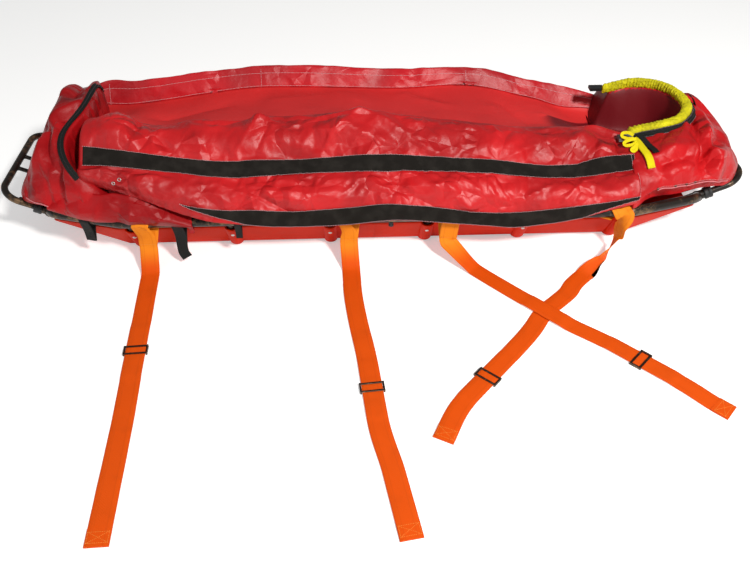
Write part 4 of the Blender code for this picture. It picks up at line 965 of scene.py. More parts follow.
def foldField(places, folds, plane=False):
    # crests and valleys on the cloth, in metres; plane gives them flat sides
    places = np.asarray(places, float)
    total = np.zeros(len(places))
    for height, width, left, points in folds:
        points = np.asarray(points, float)
        ran = runAlong(points)
        ran = ran / max(ran[-1], 1e-9)
        near = np.full(len(places), 1e9)
        share = np.zeros(len(places))
        for a, b, ta, tb in zip(points, points[1:], ran, ran[1:]):
            way = b - a
            t = np.clip(((places - a) @ way) / max(way @ way, 1e-9), 0, 1)
            off = np.linalg.norm(places - (a + t[:, None] * way), axis=1)
            closer = off < near
            near = np.where(closer, off, near)
            share = np.where(closer, ta + t * (tb - ta), share)
        level = height * (1 + (left - 1) * share)
        d = near / width
        total += level * (np.maximum(0, 1 - d / 2.1) if plane else np.exp(-d ** 1.1))
    return total


def measured(x, run):
    # the cloth's points as (x, length run across it), for the folds
    return np.stack([np.broadcast_to(x, run.shape), run], axis=2).reshape(-1, 2)


def lineAt(table, x):
    return np.stack([x, along(x, table, 1), along(x, table, 2)], axis=1)


def bellied(low, high, share, out):
    # a point part of the way from low to high, pushed out of the bag's near side
    way = high - low
    normal = unit(np.stack([0 * way[:, 0], -way[:, 2], way[:, 1]], axis=1))
    return low + way * share + normal * out


flapSteps = [7, 4, 4, 4, 7, 4, 4, 5, 3, 3, 4]  # rows 0 to 7 carry the lower tape, 19 to 26 the upper one
flapKeyRows = [0, 7, 19, 26, 39]
flapCalm = [(0, 8, 0.35), (19, 27, 0.45), (39, 44, 0.5), (44, 50, 0.0)]  # (first row, end, share of the folds kept)
# (first row, end, how firmly the settling holds the cloth)
flapHeld = [(0, 8, 0.9), (19, 27, 0.8), (38, 50, 1.0), (8, 9, 0.4), (18, 19, 0.4), (27, 28, 0.4), (37, 38, 0.4)]
flapTop = {"z": 0.362, "above": 0.45}  # above is the share kept of what stands over z
plugRoom = {"x": 0.637, "y": -0.132, "half": 0.02, "z": 0.275, "rise": 0.5}  # for the near buckle's plug to draw out


def flapSurface():
    # the near flap's surface, rows from the hem to the tuck behind the ridge
    x = np.linspace(bag["footX"], bag["headX"], bag["columns"])
    hem, lowTop, upLow, upTop, ridge = [lineAt(t, x) for t in (flapHem, flapLowTop, flapUpLow, flapUpTop, flapRidge)]
    controls = [hem, lowTop, bellied(lowTop, upLow, 0.34, 0.013), bellied(lowTop, upLow, 0.7, 0.012), upLow, upTop,
                bellied(upTop, ridge, 0.34, 0.012), bellied(upTop, ridge, 0.7, 0.012), ridge,
                ridge + (0, 0.016, -0.006), ridge + (0, 0.025, -0.026), ridge + (0, 0.018, -0.058)]
    grid = splineRows(controls, flapSteps)
    run = runAlong(grid)

    def onCloth(point):
        column = int(np.clip(np.searchsorted(x, point[0]), 0, len(x) - 1))
        row = float(np.interp(point[1], range(5), flapKeyRows))
        return (point[0], float(np.interp(row, range(len(run)), run[:, column])))

    folds = [(h, w, e, [onCloth(p) for p in points]) for h, w, e, points in flapFolds]
    places = measured(x, run)
    push = foldField(places, folds) + 0.0035 * roughField(places, 16.0, 1)
    calm = np.ones(len(grid))
    for first, end, share in flapCalm:
        calm[first:end] = share
    grid = grid + faceNormals(grid) * (push.reshape(run.shape) * calm[:, None])[..., None]
    held = np.zeros(run.shape)
    for first, end, share in flapHeld:
        held[first:end] = share
    held[:, :2] = held[:, -2:] = 1.0
    moved = settled(grid.reshape(-1, 3), gridFaces(*run.shape), held.reshape(-1), bag["growth"], 14, 0.011, 0.12, 0.05)
    top, room = flapTop["z"], plugRoom
    moved[:, 2] = np.where(moved[:, 2] > top, top + (moved[:, 2] - top) * flapTop["above"], moved[:, 2])
    beside = np.maximum(np.abs(moved[:, 1] - room["y"]) - room["half"], 0)
    gap = np.hypot(np.maximum(room["x"] - moved[:, 0], 0), beside)
    moved[:, 2] = np.minimum(moved[:, 2], room["z"] + room["rise"] * gap)
    return moved.reshape(grid.shape)


def rolledEnd(grid, step, depth):
    # extra columns that turn the sheet's foot end inwards
    first = grid[:, :1]
    inward = unit(np.array([0.0, -0.03, 0.2]) - first * (0, 1, 1))
    extra = []
    for i in range(step, 0, -1):
        a = math.pi * 0.85 * i / step
        extra.append(first + np.array([-depth * math.sin(a), 0, 0]) + inward * depth * (1 - math.cos(a)))
    return np.concatenate(extra + [grid], axis=1)


def sheetPiece(name, grid, finish, thickness, finer=True):
    piece = addPiece(name, grid.reshape(-1, 3), gridFaces(*grid.shape[:2]), finish, body=None)
    if finer:
        refined(piece)
    thickened(piece, thickness)
    piece.data.shade_smooth()
    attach(piece, "stretcher")
    return piece


def sampled(grid, row, column):
    # point between the grid's own points
    i, j = min(int(row), grid.shape[0] - 2), min(int(column), grid.shape[1] - 2)
    s, t = row - i, column - j
    low = grid[i, j] * (1 - t) + grid[i, j + 1] * t
    high = grid[i + 1, j] * (1 - t) + grid[i + 1, j + 1] * t
    return low * (1 - s) + high * s


flap = flapSurface()
flapNormals = turnedTo(faceNormals(flap), (20, 90), (0, -1, 0))
nearFlap = sheetPiece("nearFlap", rolledEnd(flap, 6, bag["rollIn"]), finishes["flap"], bag["sheet"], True)
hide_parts("near_flap")
print("near flap made")


def loopTape(name, lowRow, highRow, widths, node):
    # a strip on the flap between two of its rows; widths is a table of (x, share of the width kept)
    lines = []
    for j, x in enumerate(flap[0, :, 0]):
        share = float(np.interp(x, *zip(*widths)))
        if share < 0.06:
            continue
        low = highRow - (highRow - lowRow) * share
        rows = np.linspace(low + 0.2, highRow - 0.15, 9)
        lines.append([sampled(flap, r, j) + sampled(flapNormals, r, j) * 0.0016 for r in rows])
    grid = np.array(lines).transpose(1, 0, 2)
    piece = sheetPiece(name, grid, finishes["tape"], 0.0013)
    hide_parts(node)
    return grid


lowerWidths = [(-0.53, 0.05), (-0.5, 0.3), (-0.36, 1), (0.56, 1), (0.7, 0.42)]
upperGrid = loopTape("upperTape", 19, 26, [(-0.76, 1), (0.71, 1)], "upper_tape")
lowerGrid = loopTape("lowerTape", 0, 7, lowerWidths, "lower_tape")
print("loop tapes made")


def powered(values, power):
    # a rounded box instead of a circle: the values' signs kept, their sizes raised to the power
    return np.sign(values) * np.abs(values) ** power


def eased(t):
    t = np.clip(t, 0, 1)
    return t * t * (3 - 2 * t)


def hoodShare(x, y):
    # 1 on the head cover, 0 in the hood's hollow and on the open side that leads to it
    edge = planLine(-hollow["inset"])
    order = np.argsort(edge[:, 1])
    reach = np.interp(y, edge[order, 1], edge[order, 0])
    gap = np.full(x.shape, 1e9)
    for p in edge:
        gap = np.minimum(gap, np.hypot(x - p[0], y - p[1]))
    within = (y > edge[0, 1]) & (y < edge[-1, 1]) & (x < reach)
    steep = hollow["slope"] * (0.4 + 0.6 * eased((x - hollow["steepX"]) / hollow["steepRun"]))
    wall = np.where(within, 1 - eased(gap / steep), 1.0)
    near = 1 - eased((y - edge[0, 1]) / hollow["nearRun"])
    return np.minimum(wall, np.maximum(near, eased((x - hollow["openX"]) / hollow["openRun"])))


def paintHoodShade(piece):
    # painted shade: a dark red second material on the hood's hollow, standing in for the shade inside the hood
    middles = np.empty(len(piece.data.polygons) * 3)
    piece.data.polygons.foreach_get("center", middles)
    x, y, z = middles.reshape(-1, 3).T
    inside = (hoodShare(x, y) < hollow["paintedShadeShare"]) & (z < hollow["paintedShadeTop"])
    piece.data.materials.append(finishes["paintedHoodShade"])
    piece.data.polygons.foreach_set("material_index", inside.astype(np.int32))


# the inner panel's folds; their places are (x, share of the way from the ridge to the far side)
panelFolds = foldTable([
    (13, 22, 0.6, [(100, 0.86), (140, 0.72), (200, 0.6)]), (-8, 20, 0.7, [(170, 0.84), (220, 0.68)]),
    (6, 15, 0.6, [(-70, 0.86), (-50, 0.7)]), (-12, 30, 0.8, [(400, 0.75), (460, 0.35)]),
    (10, 30, 0.6, [(360, 0.6), (380, 0.3)]), (8, 50, 0.5, [(-300, 0.7), (-100, 0.85)]),
    (-10, 30, 0.8, [(-620, 0.5), (-450, 0.65)]), (8, 20, 0.8, [(520, 0.6), (600, 0.4)]),
], 1)


panelSizes = {
    "footX": -0.845, "headX": 0.76, "sag": 0.016, "headSag": 0.034, "headSagX": 0.54, "headRun": 0.15, "depth": 0.33,
}
underLine = [(0.205, 0.078), (0.238, 0.152), (0.262, 0.162)]  # the bag's side under the panel as (y, z), from the floor


def bagInner():
    # closed body of the bag; its top is the smooth panel with the hood's hollow
    s = panelSizes
    x = np.linspace(s["footX"], s["headX"], 150)
    ridge = lineAt(flapRidge, np.clip(x, bag["footX"], bag["headX"]))
    ease = np.clip((x - bag["headX"]) / 0.06, 0, 1) + np.clip((bag["footX"] - x) / 0.09, 0, 1)
    start = np.stack([x, ridge[:, 1] + 0.012, ridge[:, 2] - 0.016 - 0.05 * ease], axis=1)
    stop = lineAt(bandLow, x) + (0, -0.001, -0.001)
    shares = np.linspace(0, 1, 56)
    arch = np.sin(math.pi * shares)[None]
    panel = start[:, None] + (stop - start)[:, None] * shares[None, :, None]
    panel[..., 2] -= s["sag"] * arch ** 0.7
    places = np.stack([panel[..., 0], np.broadcast_to(shares, panel.shape[:2]) * s["depth"]], axis=2).reshape(-1, 2)
    folds = [(h, w, e, [(a, b * s["depth"]) for a, b in points]) for h, w, e, points in panelFolds]
    push = foldField(places, folds) + 0.004 * roughField(places, 7.0, 4)
    panel[..., 2] += push.reshape(panel.shape[:2]) * arch ** 0.5
    panel[..., 2] -= s["headSag"] * eased((panel[..., 0] - s["headSagX"]) / s["headRun"]) * arch ** 0.6
    rings = []
    for xi, row in zip(x, panel):
        side = underLine
        if abs(xi) > 0.75:
            side = [(underLine[0][0], 0.15)] + underLine[1:]
        far = [(0.262, row[-1][2] - 0.02), (0.268, 0.19)] + side[::-1]
        near = [(-y, z) for y, z in side] + [(-0.255, 0.19), (-0.19, row[0][2] - 0.07)]
        tuck = 1 - 0.12 * float(eased((xi - 0.68) / 0.06))
        low = [(xi, y * tuck, min(z, row[-1][2] - 0.002)) for y, z in far] + [(xi, y * tuck, z) for y, z in near]
        rings.append(np.vstack([row, low]))
    # the panel's finish carries painted light and a painted shadow towards the hood
    piece = outward(addPiece("bagInner", *closedLoft(rings), finishes["panel"], body=None))
    piece.data.set_sharp_from_angle(angle=sharpAngles["cloth"])
    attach(piece, "stretcher")
    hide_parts("bag_body")


bagInner()
print("inner panel made")


bandFolds = foldTable([
    (4, 10, 0.6, [(-330, 10), (-335, 45)]), (-4, 8, 0.6, [(-345, 10), (-350, 45)]),
    (4, 12, 0.6, [(-200, 45), (-190, 10)]), (4, 11, 0.6, [(-20, 40), (0, 10)]), (5, 12, 0.6, [(90, 45), (120, 12)]),
    (5, 10, 0.6, [(160, 45), (150, 12)]), (-5, 12, 0.6, [(290, 50), (310, 0)]), (4, 10, 0.6, [(420, 40), (450, 10)]),
    (5, 12, 0.6, [(520, 45), (560, 10)]), (-4, 12, 0.6, [(-470, 50), (-500, 10)]),
    (4, 15, 0.6, [(-620, 45), (-580, 10)]), (-4, 10, 0.6, [(-660, 45), (-680, 10)]),
])
bandSteps = [2, 3, 8, 3, 3, 4, 4, 4]
bandReach = 0.3185  # as far out as the far side may hang


def farFlapSurface():
    # inner hem band, its fold, and the side that hangs over the far rail
    x = np.linspace(-0.85, 0.755, 200)
    low, top = lineAt(bandLow, x), lineAt(bandTop, x)
    side = np.clip((0.7 - x) / 0.05, 0, 1) * np.clip((x + 0.8) / 0.05, 0, 1)
    controls = [low + (0, 0.008, 0.01), low + (0, 0.007, 0.002), low + (0, 0.0, 0.001)]
    controls += [top + (0, -0.002, -0.003), top + (0, 0.006, 0.001), top + (0, 0.013, -0.01)]
    reach = 0.302 + 0.012 * side
    for z, push in ((0.21, 0.004), (0.165, 0.0), (0.128, -0.002)):
        row = top.copy()
        row[:, 1] = np.maximum(reach + push, top[:, 1] + 0.004) if z < 0.2 else (top[:, 1] + reach) / 2 + 0.01
        row[:, 2] = np.minimum(z, top[:, 2] - 0.012 - (0.21 - z) * 0.35)
        controls.append(row)
    grid = splineRows(controls, bandSteps)
    run = runAlong(grid)
    run = run - run[4]
    places = measured(x, run)
    push = foldField(places, bandFolds) + 0.0025 * roughField(places, 26.0, 7)
    push += 0.006 * roughField(places, 8.0, 9) * np.clip(run.reshape(-1) / 0.1, 0, 1)
    normals = turnedTo(faceNormals(grid), (8, 100), (0, -1, 0))
    grid = grid + normals * push.reshape(run.shape)[..., None]
    grid[..., 1] = np.minimum(grid[..., 1], bandReach)
    return grid, normals


band, bandNormals = farFlapSurface()
farFlap = sheetPiece("farFlap", band, finishes["band"], 0.0016)
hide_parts("far_flap")
print("far flap made")


# outlines of the bag's two ends, as (x, half width, top)
pocketLine = metres([
    (-1000, 150, 175), (-985, 185, 194), (-965, 207, 228), (-940, 224, 280), (-910, 240, 326), (-850, 268, 344),
    (-800, 285, 338), (-760, 282, 302), (-700, 250, 235),
])
coverLine = metres([
    (640, 290, 262), (700, 292, 272), (800, 270, 300), (850, 260, 302), (900, 243, 302), (960, 215, 283),
    (1000, 190, 250), (1030, 152, 214), (1050, 115, 190),
])
archPower = 0.6
# the height of each end's near hem, and how far the cloth under it goes in, as (x, height, inset)
pocketHem = metres([
    (-1000, 178, 0), (-970, 180, 10), (-914, 171, 22), (-810, 180, 24), (-720, 182, 20),
])
coverHem = metres([
    (640, 160, 0), (700, 182, 0), (740, 198, 30), (830, 204, 36), (930, 198, 36), (970, 182, 20), (1010, 172, 0),
])
# where the pocket ends beside the near flap and the panel, as (y, x, depth of the drop behind it)
pocketBreak = metres([
    (-300, -760, 0), (-264, -777, 0), (-245, -802, 12), (-200, -823, 55), (-150, -825, 60), (-50, -808, 60),
    (30, -806, 85), (120, -812, 115), (200, -826, 130), (280, -850, 130),
])
pocketFolds = foldTable([
    (-36, 14, 0.6, [(-825, -20), (-870, -50), (-905, -85)]), (10, 12, 0.2, [(-825, 20), (-860, 0), (-900, -30)]),
    (10, 12, 0.5, [(-920, 180), (-895, 80), (-885, 20)]), (10, 10, 0.8, [(-865, -100), (-860, -160), (-865, -200)]),
    (-20, 10, 0.8, [(-888, -100), (-880, -170), (-868, -225), (-840, -255)]),
    (8, 12, 0.6, [(-900, -110), (-905, -180), (-930, -210)]), (-14, 10, 0.8, [(-835, -235), (-860, -262)]),
    (7, 10, 0.7, [(-820, -262), (-790, -275)]), (-14, 11, 0.7, [(-925, -20), (-935, -100), (-955, -160)]),
    (-22, 14, 0.6, [(-865, 200), (-865, 130), (-860, 60)]), (8, 12, 0.6, [(-885, 170), (-890, 100)]),
    (-12, 10, 0.7, [(-930, 130), (-925, 30)]), (-12, 10, 0.8, [(-780, -285), (-830, -278), (-880, -255)]),
    (-14, 10, 0.7, [(-890, -240), (-940, -200)]), (-12, 10, 0.7, [(-845, -50), (-850, -100), (-845, -140)]),
    (14, 16, 0.5, [(-945, 200), (-935, 150)]), (-10, 8, 0.7, [(-915, -60), (-910, -130)]),
])
coverFolds = foldTable([
    (14, 16, 0.6, [(800, -200), (844, -140), (890, -70)]), (-18, 13, 0.8, [(905, -50), (885, -150), (900, -230)]),
    (16, 14, 0.8, [(935, -30), (920, -140), (930, -210)]), (-15, 12, 0.7, [(885, -226), (970, -110)]),
    (14, 13, 0.6, [(900, -240), (990, -140)]), (10, 14, 0.6, [(740, -215), (860, -185)]),
    (-11, 11, 0.6, [(770, -235), (850, -215)]), (13, 14, 0.6, [(950, 100), (990, 20), (1000, -80)]),
    (-13, 13, 0.7, [(930, 160), (975, 100)]), (15, 16, 0.7, [(860, 240), (900, 160)]),
    (-13, 14, 0.7, [(800, 250), (840, 180)]), (10, 12, 0.6, [(790, -260), (830, -240)]),
    (-12, 12, 0.8, [(940, -160), (1000, -120)]), (10, 11, 0.7, [(840, -245), (870, -200), (875, -160)]),
])


def endFloor(x):
    # the bag's ends rest on the rails and clear the carrying loops
    return max(bag["floorZ"], slopeZ(x) + 0.0107 / math.cos(slope))


def archSizes(line, x):
    # half width, top and floor of an end's arch
    return float(along(x, line, 1)[0]), float(along(x, line, 2)[0]), endFloor(x)


def archAt(line, x, y):
    half, top, floor = archSizes(line, x)
    share = min(abs(y) / half, 1.0)
    return floor + (top - floor) * max(0.0, 1 - share ** (2 / archPower)) ** (archPower / 2)


archSteps = 116


def archGrid(line, stations):
    # rows of points at equal steps over the arch of each station
    turns = np.linspace(0, math.pi, 400)
    across = -powered(np.cos(turns), archPower)
    rise = np.abs(np.sin(turns)) ** archPower
    rise[0] = rise[-1] = 0.0
    grid = []
    for x in stations:
        half, top, floor = archSizes(line, x)
        dense = np.stack([np.full(400, x), half * across, floor + (top - floor) * rise], axis=1)
        grid.append(spaced(dense, archSteps + 1))
    return np.array(grid)


def bagEnd(name, line, hem, folds, stations, node, growth, shaped, seed):
    # closed form whose top is an arch at each station, folded and settled
    grid, calm = shaped(archGrid(line, stations))
    push = foldField(grid[..., :2].reshape(-1, 2), folds, True).reshape(grid.shape[:2])
    push += (0.003 * roughField(grid.reshape(-1, 3), 17.0, seed)).reshape(grid.shape[:2])
    order = np.arange(archSteps + 1)
    rim = np.clip(np.minimum(order, archSteps - order) / 5, 0, 1)[None]
    normals = turnedTo(faceNormals(grid), (len(stations) // 2, archSteps // 2), (0, 0, 1))
    grid = grid + normals * (push * rim * (1 - calm))[..., None]
    held = np.where(calm > 0.02, 1.0, 0.0)
    held[:, :6] = held[:, -3:] = 1.0
    held[:2] = held[-2:] = 1.0
    faces = gridFaces(*grid.shape[:2])
    shape = settled(grid.reshape(-1, 3), faces, held.reshape(-1), growth, 10, 0.005, 0.1).reshape(grid.shape)
    floors = np.array([endFloor(x) for x in shape[:, 0, 0]])
    heights, insets = along(shape[:, 0, 0], hem, 1), along(shape[:, 0, 0], hem, 2)
    under = eased((heights[:, None] - shape[..., 2]) / 0.006) * (order < archSteps // 2)[None]
    shape[..., 1] += under * insets[:, None]
    shape[..., 2] = np.maximum(shape[..., 2], floors[:, None] + 0.0002)
    points, faces = closedLoft([np.vstack([row, np.linspace(row[-1], row[0], 8)[1:-1]]) for row in shape])
    piece = outward(addPiece(name, points, faces, finishes[name], body=None))
    refined(piece)
    piece.data.shade_smooth()
    piece.data.set_sharp_from_angle(angle=sharpAngles["cloth"])
    # the hood's hollow is given painted shade
    if name == "headCover":
        paintHoodShade(piece)
    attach(piece, "stretcher")
    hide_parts(node)
    return shape


def pocketShaped(grid):
    # the pocket drops behind its zip, where the flap and the panel are
    x, y = grid[..., 0], grid[..., 1].reshape(-1)
    edge, deep = [along(y, pocketBreak, column).reshape(x.shape) for column in (1, 2)]
    share = eased((x - edge) / 0.016)
    lowest = endFloor(-0.75) + 0.004
    grid[..., 2] -= np.minimum(share * deep, np.maximum(grid[..., 2] - lowest, 0))
    return grid, eased((x - edge + 0.026) / 0.012)


def coverShaped(grid):
    share = hoodShare(grid[..., 0], grid[..., 1])
    floor = np.minimum(hollow["floor"], grid[..., 2])
    grid[..., 2] = floor + (grid[..., 2] - floor) * share
    return grid, np.clip((1 - share) * 2, 0, 1)


pocketPlaces, coverPlaces = np.linspace(-0.705, -0.997, 72), np.linspace(0.689, 1.046, 86)
# the foot pocket's finish is painted shade, a darker copy of the red cloth
pocketShape = bagEnd(
    "footPocket", pocketLine, pocketHem, pocketFolds, pocketPlaces, "foot_pocket", 0.006, pocketShaped, 3)
coverShape = bagEnd(
    "headCover", coverLine, coverHem, coverFolds, coverPlaces, "head_cover", 0.012, coverShaped, 5)
print("foot pocket and head cover made")


padSizes = {"halfX": 0.69, "halfY": 0.159, "middleZ": 0.0495, "above": 0.024, "below": 0.0265, "quilt": 0.115}


def mattressPad():
    # quilted pad on the hoops
    s = padSizes
    rings = []
    turns = np.linspace(0, 2 * math.pi, 40, endpoint=False)
    steep = np.abs(np.sin(turns))
    for at in np.linspace(-s["halfX"], s["halfX"], 120):
        close = min(1.0, (s["halfX"] - abs(at)) / 0.012 + 0.25) ** 0.5
        channel = 1 - 0.1 * abs(math.cos(math.pi * (at + s["halfX"]) / s["quilt"])) ** 12
        y = s["halfY"] * powered(np.cos(turns), 0.25)
        over = s["middleZ"] + s["above"] * close * channel * steep ** 0.5
        below = s["middleZ"] - s["below"] * close * steep ** 0.4
        z = np.where(np.sin(turns) > 0, over, below)
        rings.append(np.stack([np.full(40, at), y * (0.985 + 0.015 * close), z], axis=1))
    piece = outward(addPiece("mattressPad", *closedLoft(rings), finishes["pad"]))
    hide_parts("mattress")


mattressPad()
print("mattress made")


socketKinds = {float: "NodeSocketFloat", int: "NodeSocketInt", type(None): "NodeSocketMaterial"}


class Growth:
    # one geometry tree for what repeats along a line; add() is the only way that a node is made
    def __init__(self, name, inputs):
        self.tree = bpy.data.node_groups.new(name, "GeometryNodeTree")
        face = self.tree.interface
        face.new_socket("Geometry", in_out="INPUT", socket_type="NodeSocketGeometry")
        self.keys = {}
        for label, value in inputs.items():
            made = face.new_socket(label, in_out="INPUT", socket_type=socketKinds[type(value)])
            if value is not None:
                made.default_value = value
            self.keys[label] = made.identifier
        face.new_socket("Geometry", in_out="OUTPUT", socket_type="NodeSocketGeometry")
        self.entry = self.tree.nodes.new("NodeGroupInput")
        self.exit = self.tree.nodes.new("NodeGroupOutput")

    def given(self, label):
        return self.entry.outputs[label]

    def add(self, kind, settings=None, values=None):
        made = self.tree.nodes.new(kind)
        setAll(made, settings)
        for key, value in (values or {}).items():
            if isinstance(value, bpy.types.NodeSocket):
                self.tree.links.new(value, made.inputs[key])
            else:
                made.inputs[key].default_value = value
        return made.outputs[0]

    def maths(self, operation, *values):
        return self.add("ShaderNodeMath", {"operation": operation}, dict(enumerate(values)))

    def scaled(self, vector, scale):
        return self.add("ShaderNodeVectorMath", {"operation": "SCALE"}, {0: vector, "Scale": scale})

    def turned(self, axis, vector):
        return self.add("FunctionNodeAlignRotationToVector", {"axis": axis}, {"Vector": vector})

    def boxed(self, x, y, z):
        return self.add("ShaderNodeCombineXYZ", {}, {"X": x, "Y": y, "Z": z})

    def evenLine(self):
        # the mesh's lines as points one pitch apart
        curve = self.add("GeometryNodeMeshToCurve", {}, {"Mesh": self.given("Geometry")})
        values = {"Curve": curve, "Length": self.given("Pitch")}
        return self.add("GeometryNodeResampleCurve", {"mode": "LENGTH"}, values)

    def close(self, points, instance, turn, material, **more):
        # instances on the points, made real, with their material
        values = {"Points": points, "Instance": instance, "Rotation": turn, **more}
        placed = self.add("GeometryNodeInstanceOnPoints", {}, values)
        real = self.add("GeometryNodeRealizeInstances", {}, {"Geometry": placed})
        done = self.add("GeometryNodeSetMaterial", {}, {"Geometry": real, "Material": self.given(material)})
        self.tree.links.new(done, self.exit.inputs[0])


def stitchTree():
    # small threads laid end to end along every line of the mesh
    g = Growth("stitchesAlongLine", {
        "Pitch": 0.0042, "Length": 0.003, "Thickness": 0.0005, "Jitter": 0.06, "Seed": 3, "Thread": None})
    turn = g.turned("X", g.add("GeometryNodeInputTangent"))
    wobble = g.add("FunctionNodeRandomValue", {"data_type": "FLOAT_VECTOR"}, {
        0: (-1.0, -1.0, -1.0), 1: (1.0, 1.0, 1.0), "Seed": g.given("Seed")})
    small = g.scaled(wobble, g.given("Jitter"))
    tilted = g.add("FunctionNodeRotateRotation", {"rotation_space": "LOCAL"}, {"Rotation": turn, "Rotate By": small})
    ball = g.add("GeometryNodeMeshUVSphere", {}, {"Segments": 6, "Rings": 4, "Radius": 1.0})
    size = g.boxed(g.maths("MULTIPLY", g.given("Length"), 0.5), g.given("Thickness"), g.given("Thickness"))
    g.close(g.evenLine(), ball, tilted, "Thread", Scale=size)
    return g


def toothTree():
    # zip teeth: small blocks set alternately to either side of the line
    g = Growth("teethAlongLine", {"Pitch": 0.0026, "Width": 0.0034, "Height": 0.0013, "Tooth": None})
    tangent = g.add("GeometryNodeInputTangent")
    size = g.boxed(g.maths("MULTIPLY", g.given("Pitch"), 0.6), g.given("Width"), g.given("Height"))
    block = g.add("GeometryNodeMeshCube", {}, {"Size": size})
    odd = g.maths("MODULO", g.add("GeometryNodeInputIndex"), 2.0)
    side = g.maths("MULTIPLY_ADD", odd, 0.0012, -0.0006)
    across = g.add("ShaderNodeVectorMath", {"operation": "CROSS_PRODUCT"}, {0: tangent, 1: (0, 0, 1)})
    offset = g.scaled(across, side)
    moved = g.add("GeometryNodeSetPosition", {}, {"Geometry": g.evenLine(), "Offset": offset})
    g.close(moved, block, g.turned("X", tangent), "Tooth")
    return g


def eyeletTree():
    # turned rings standing on points, along the stored normals
    g = Growth("eyeletsOnPoints", {"Radius": 0.004, "Rim": 0.0011, "Metal": None})
    circle = g.add("GeometryNodeCurvePrimitiveCircle", {}, {"Resolution": 18, "Radius": g.given("Radius")})
    section = g.add("GeometryNodeCurvePrimitiveCircle", {}, {"Resolution": 8, "Radius": g.given("Rim")})
    ring = g.add("GeometryNodeCurveToMesh", {}, {"Curve": circle, "Profile Curve": section})
    normal = g.add("GeometryNodeInputNamedAttribute", {"data_type": "FLOAT_VECTOR"}, {"Name": "facing"})
    g.close(g.given("Geometry"), ring, g.turned("Z", normal), "Metal")
    return g


stitches = stitchTree()
teeth = toothTree()
eyelets = eyeletTree()


def grown(name, lines, growth, values, facing=None):
    # the tree's result on the given lines, as a plain mesh; with facing, on single points that look that way
    edges, base = [], 0
    for line in lines:
        if facing is None:
            edges += [(base + i, base + i + 1) for i in range(len(line) - 1)]
        base += len(line)
    mesh = meshOf(name, np.vstack(lines), (), edges)
    if facing is not None:
        layer = mesh.attributes.new("facing", "FLOAT_VECTOR", "POINT")
        layer.data.foreach_set("vector", np.asarray(facing, float).reshape(-1))
    piece = linked(name, mesh)
    mod = piece.modifiers.new("growth", "NODES")
    mod.node_group = growth.tree
    for label, value in values.items():
        mod[growth.keys[label]] = value
    applied(piece)
    piece.data.shade_smooth()
    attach(piece, "stretcher")
    return piece


def seam(name, lines, thread="thread", pitch=0.0042, thick=0.0005):
    values = {"Pitch": pitch, "Length": pitch * 0.72, "Thickness": thick, "Thread": finishes[thread]}
    return grown(name, lines, stitches, values)


def tapeSeams():
    lines = []
    for grid in (upperGrid, lowerGrid):
        lines += [grid[edge] * 0.88 + grid[inner] * 0.12 + (0, -0.0008, 0.0006) for edge, inner in ((0, 1), (-1, -2))]
    lines.append(upperGrid[:, -2] + (0, -0.0008, 0.0004))
    seam("tapeSeams", lines, pitch=0.0045, thick=0.0007)


def bandSeams():
    # two rows along the band and three seams across it
    def onBand(row, column, rise):
        return sampled(band, row, column) + sampled(bandNormals, row, column) * rise

    lines = [np.array([onBand(row, j, 0.0005) for j in range(band.shape[1])]) for row in (5.4, 10.6)]
    for at in (-0.822, -0.345, 0.298):
        column = float(np.interp(at, band[0, :, 0], np.arange(band.shape[1])))
        lines.append(np.array([onBand(r, column, 0.0006) for r in np.linspace(4.2, 12, 14)]))
    seam("bandSeams", lines, pitch=0.0045, thick=0.0009)


def hemPoints(shape, hem):
    # a bag end's near edge, where its cloth turns under
    points = []
    for row in shape[2:-3]:
        half = row[:len(row) // 2]
        points.append(half[int(np.argmax(half[:, 2] >= float(along(row[0, 0], hem, 1)[0]) - 0.001))])
    points = np.array(points)
    for k in (1, 2):
        points[:, k] = averaged(points[:, k], 5)
    return points


def piping(name, hem):
    line = hem + (0, -0.0008, 0)
    piece = outward(addPiece(name, *tubeMesh(line, 0.0014, 10), finishes["piping"]))


def coverSeams():
    # the join of the near flap and the head cover, and the cover's lower hem
    join = [flap[r, -1] + flapNormals[r, -1] * 0.0012 for r in range(4, 36)]
    hem = hemPoints(coverShape, coverHem)[14:-12]
    seam("coverSeams", [join, hem + (0, -0.0018, 0.007)], pitch=0.0045, thick=0.00055)
    piping("coverPiping", hem)
    spots = [hem[int(np.argmin(np.abs(hem[:, 0] - x)))] + (0, -0.0015, 0.005) for x in (0.747, 0.805, 0.838, 0.866)]
    values = {"Metal": finishes["gunmetal"], "Radius": 0.0022}
    grown("coverEyelets", [spots], eyelets, values, [(0, -0.9, 0.4)] * 4)


def pocketEdges():
    # pale piping on the pocket's hem and the eyelets in the flap's corner
    piping("pocketPiping", hemPoints(pocketShape, pocketHem)[6:-6])
    facing = [flapNormals[8, 11], flapNormals[10, 13]]
    spots = [sampled(flap, 8.5, 11) + facing[0] * 0.001, sampled(flap, 10.5, 13) + facing[1] * 0.001]
    grown("flapEyelets", [spots], eyelets, {"Metal": finishes["steel"], "Radius": 0.0042}, facing)


tapeSeams()
bandSeams()
coverSeams()
pocketEdges()
print("seams and piping made")


def onCover(x, y, rise):
    # point above (x, y) of the head cover's settled surface
    row = float(np.interp(x, coverShape[:, 0, 0], np.arange(len(coverShape))))
    i = min(int(row), len(coverShape) - 2)
    section = coverShape[i] * (1 - (row - i)) + coverShape[i + 1] * (row - i)
    order = np.argsort(section[:, 1])
    z = float(np.interp(y, section[order, 1], section[order, 2]))
    return np.array([x, y, z + rise])


def sectionRing(shares, edge):
    # cross section of webbing as (share of the half width, share of the thickness); edge is its thin side
    upper = [(s, 0.5 if abs(s) < 0.99 else edge) for s in shares]
    return upper + [(s, -h) for s, h in reversed(upper)]


stripRing = sectionRing([-1, -0.94, -0.6, -0.2, 0.2, 0.6, 0.94, 1], 0.18)
webRing = sectionRing([-1, -0.95, -0.5, 0.0, 0.5, 0.95, 1], 0.15)


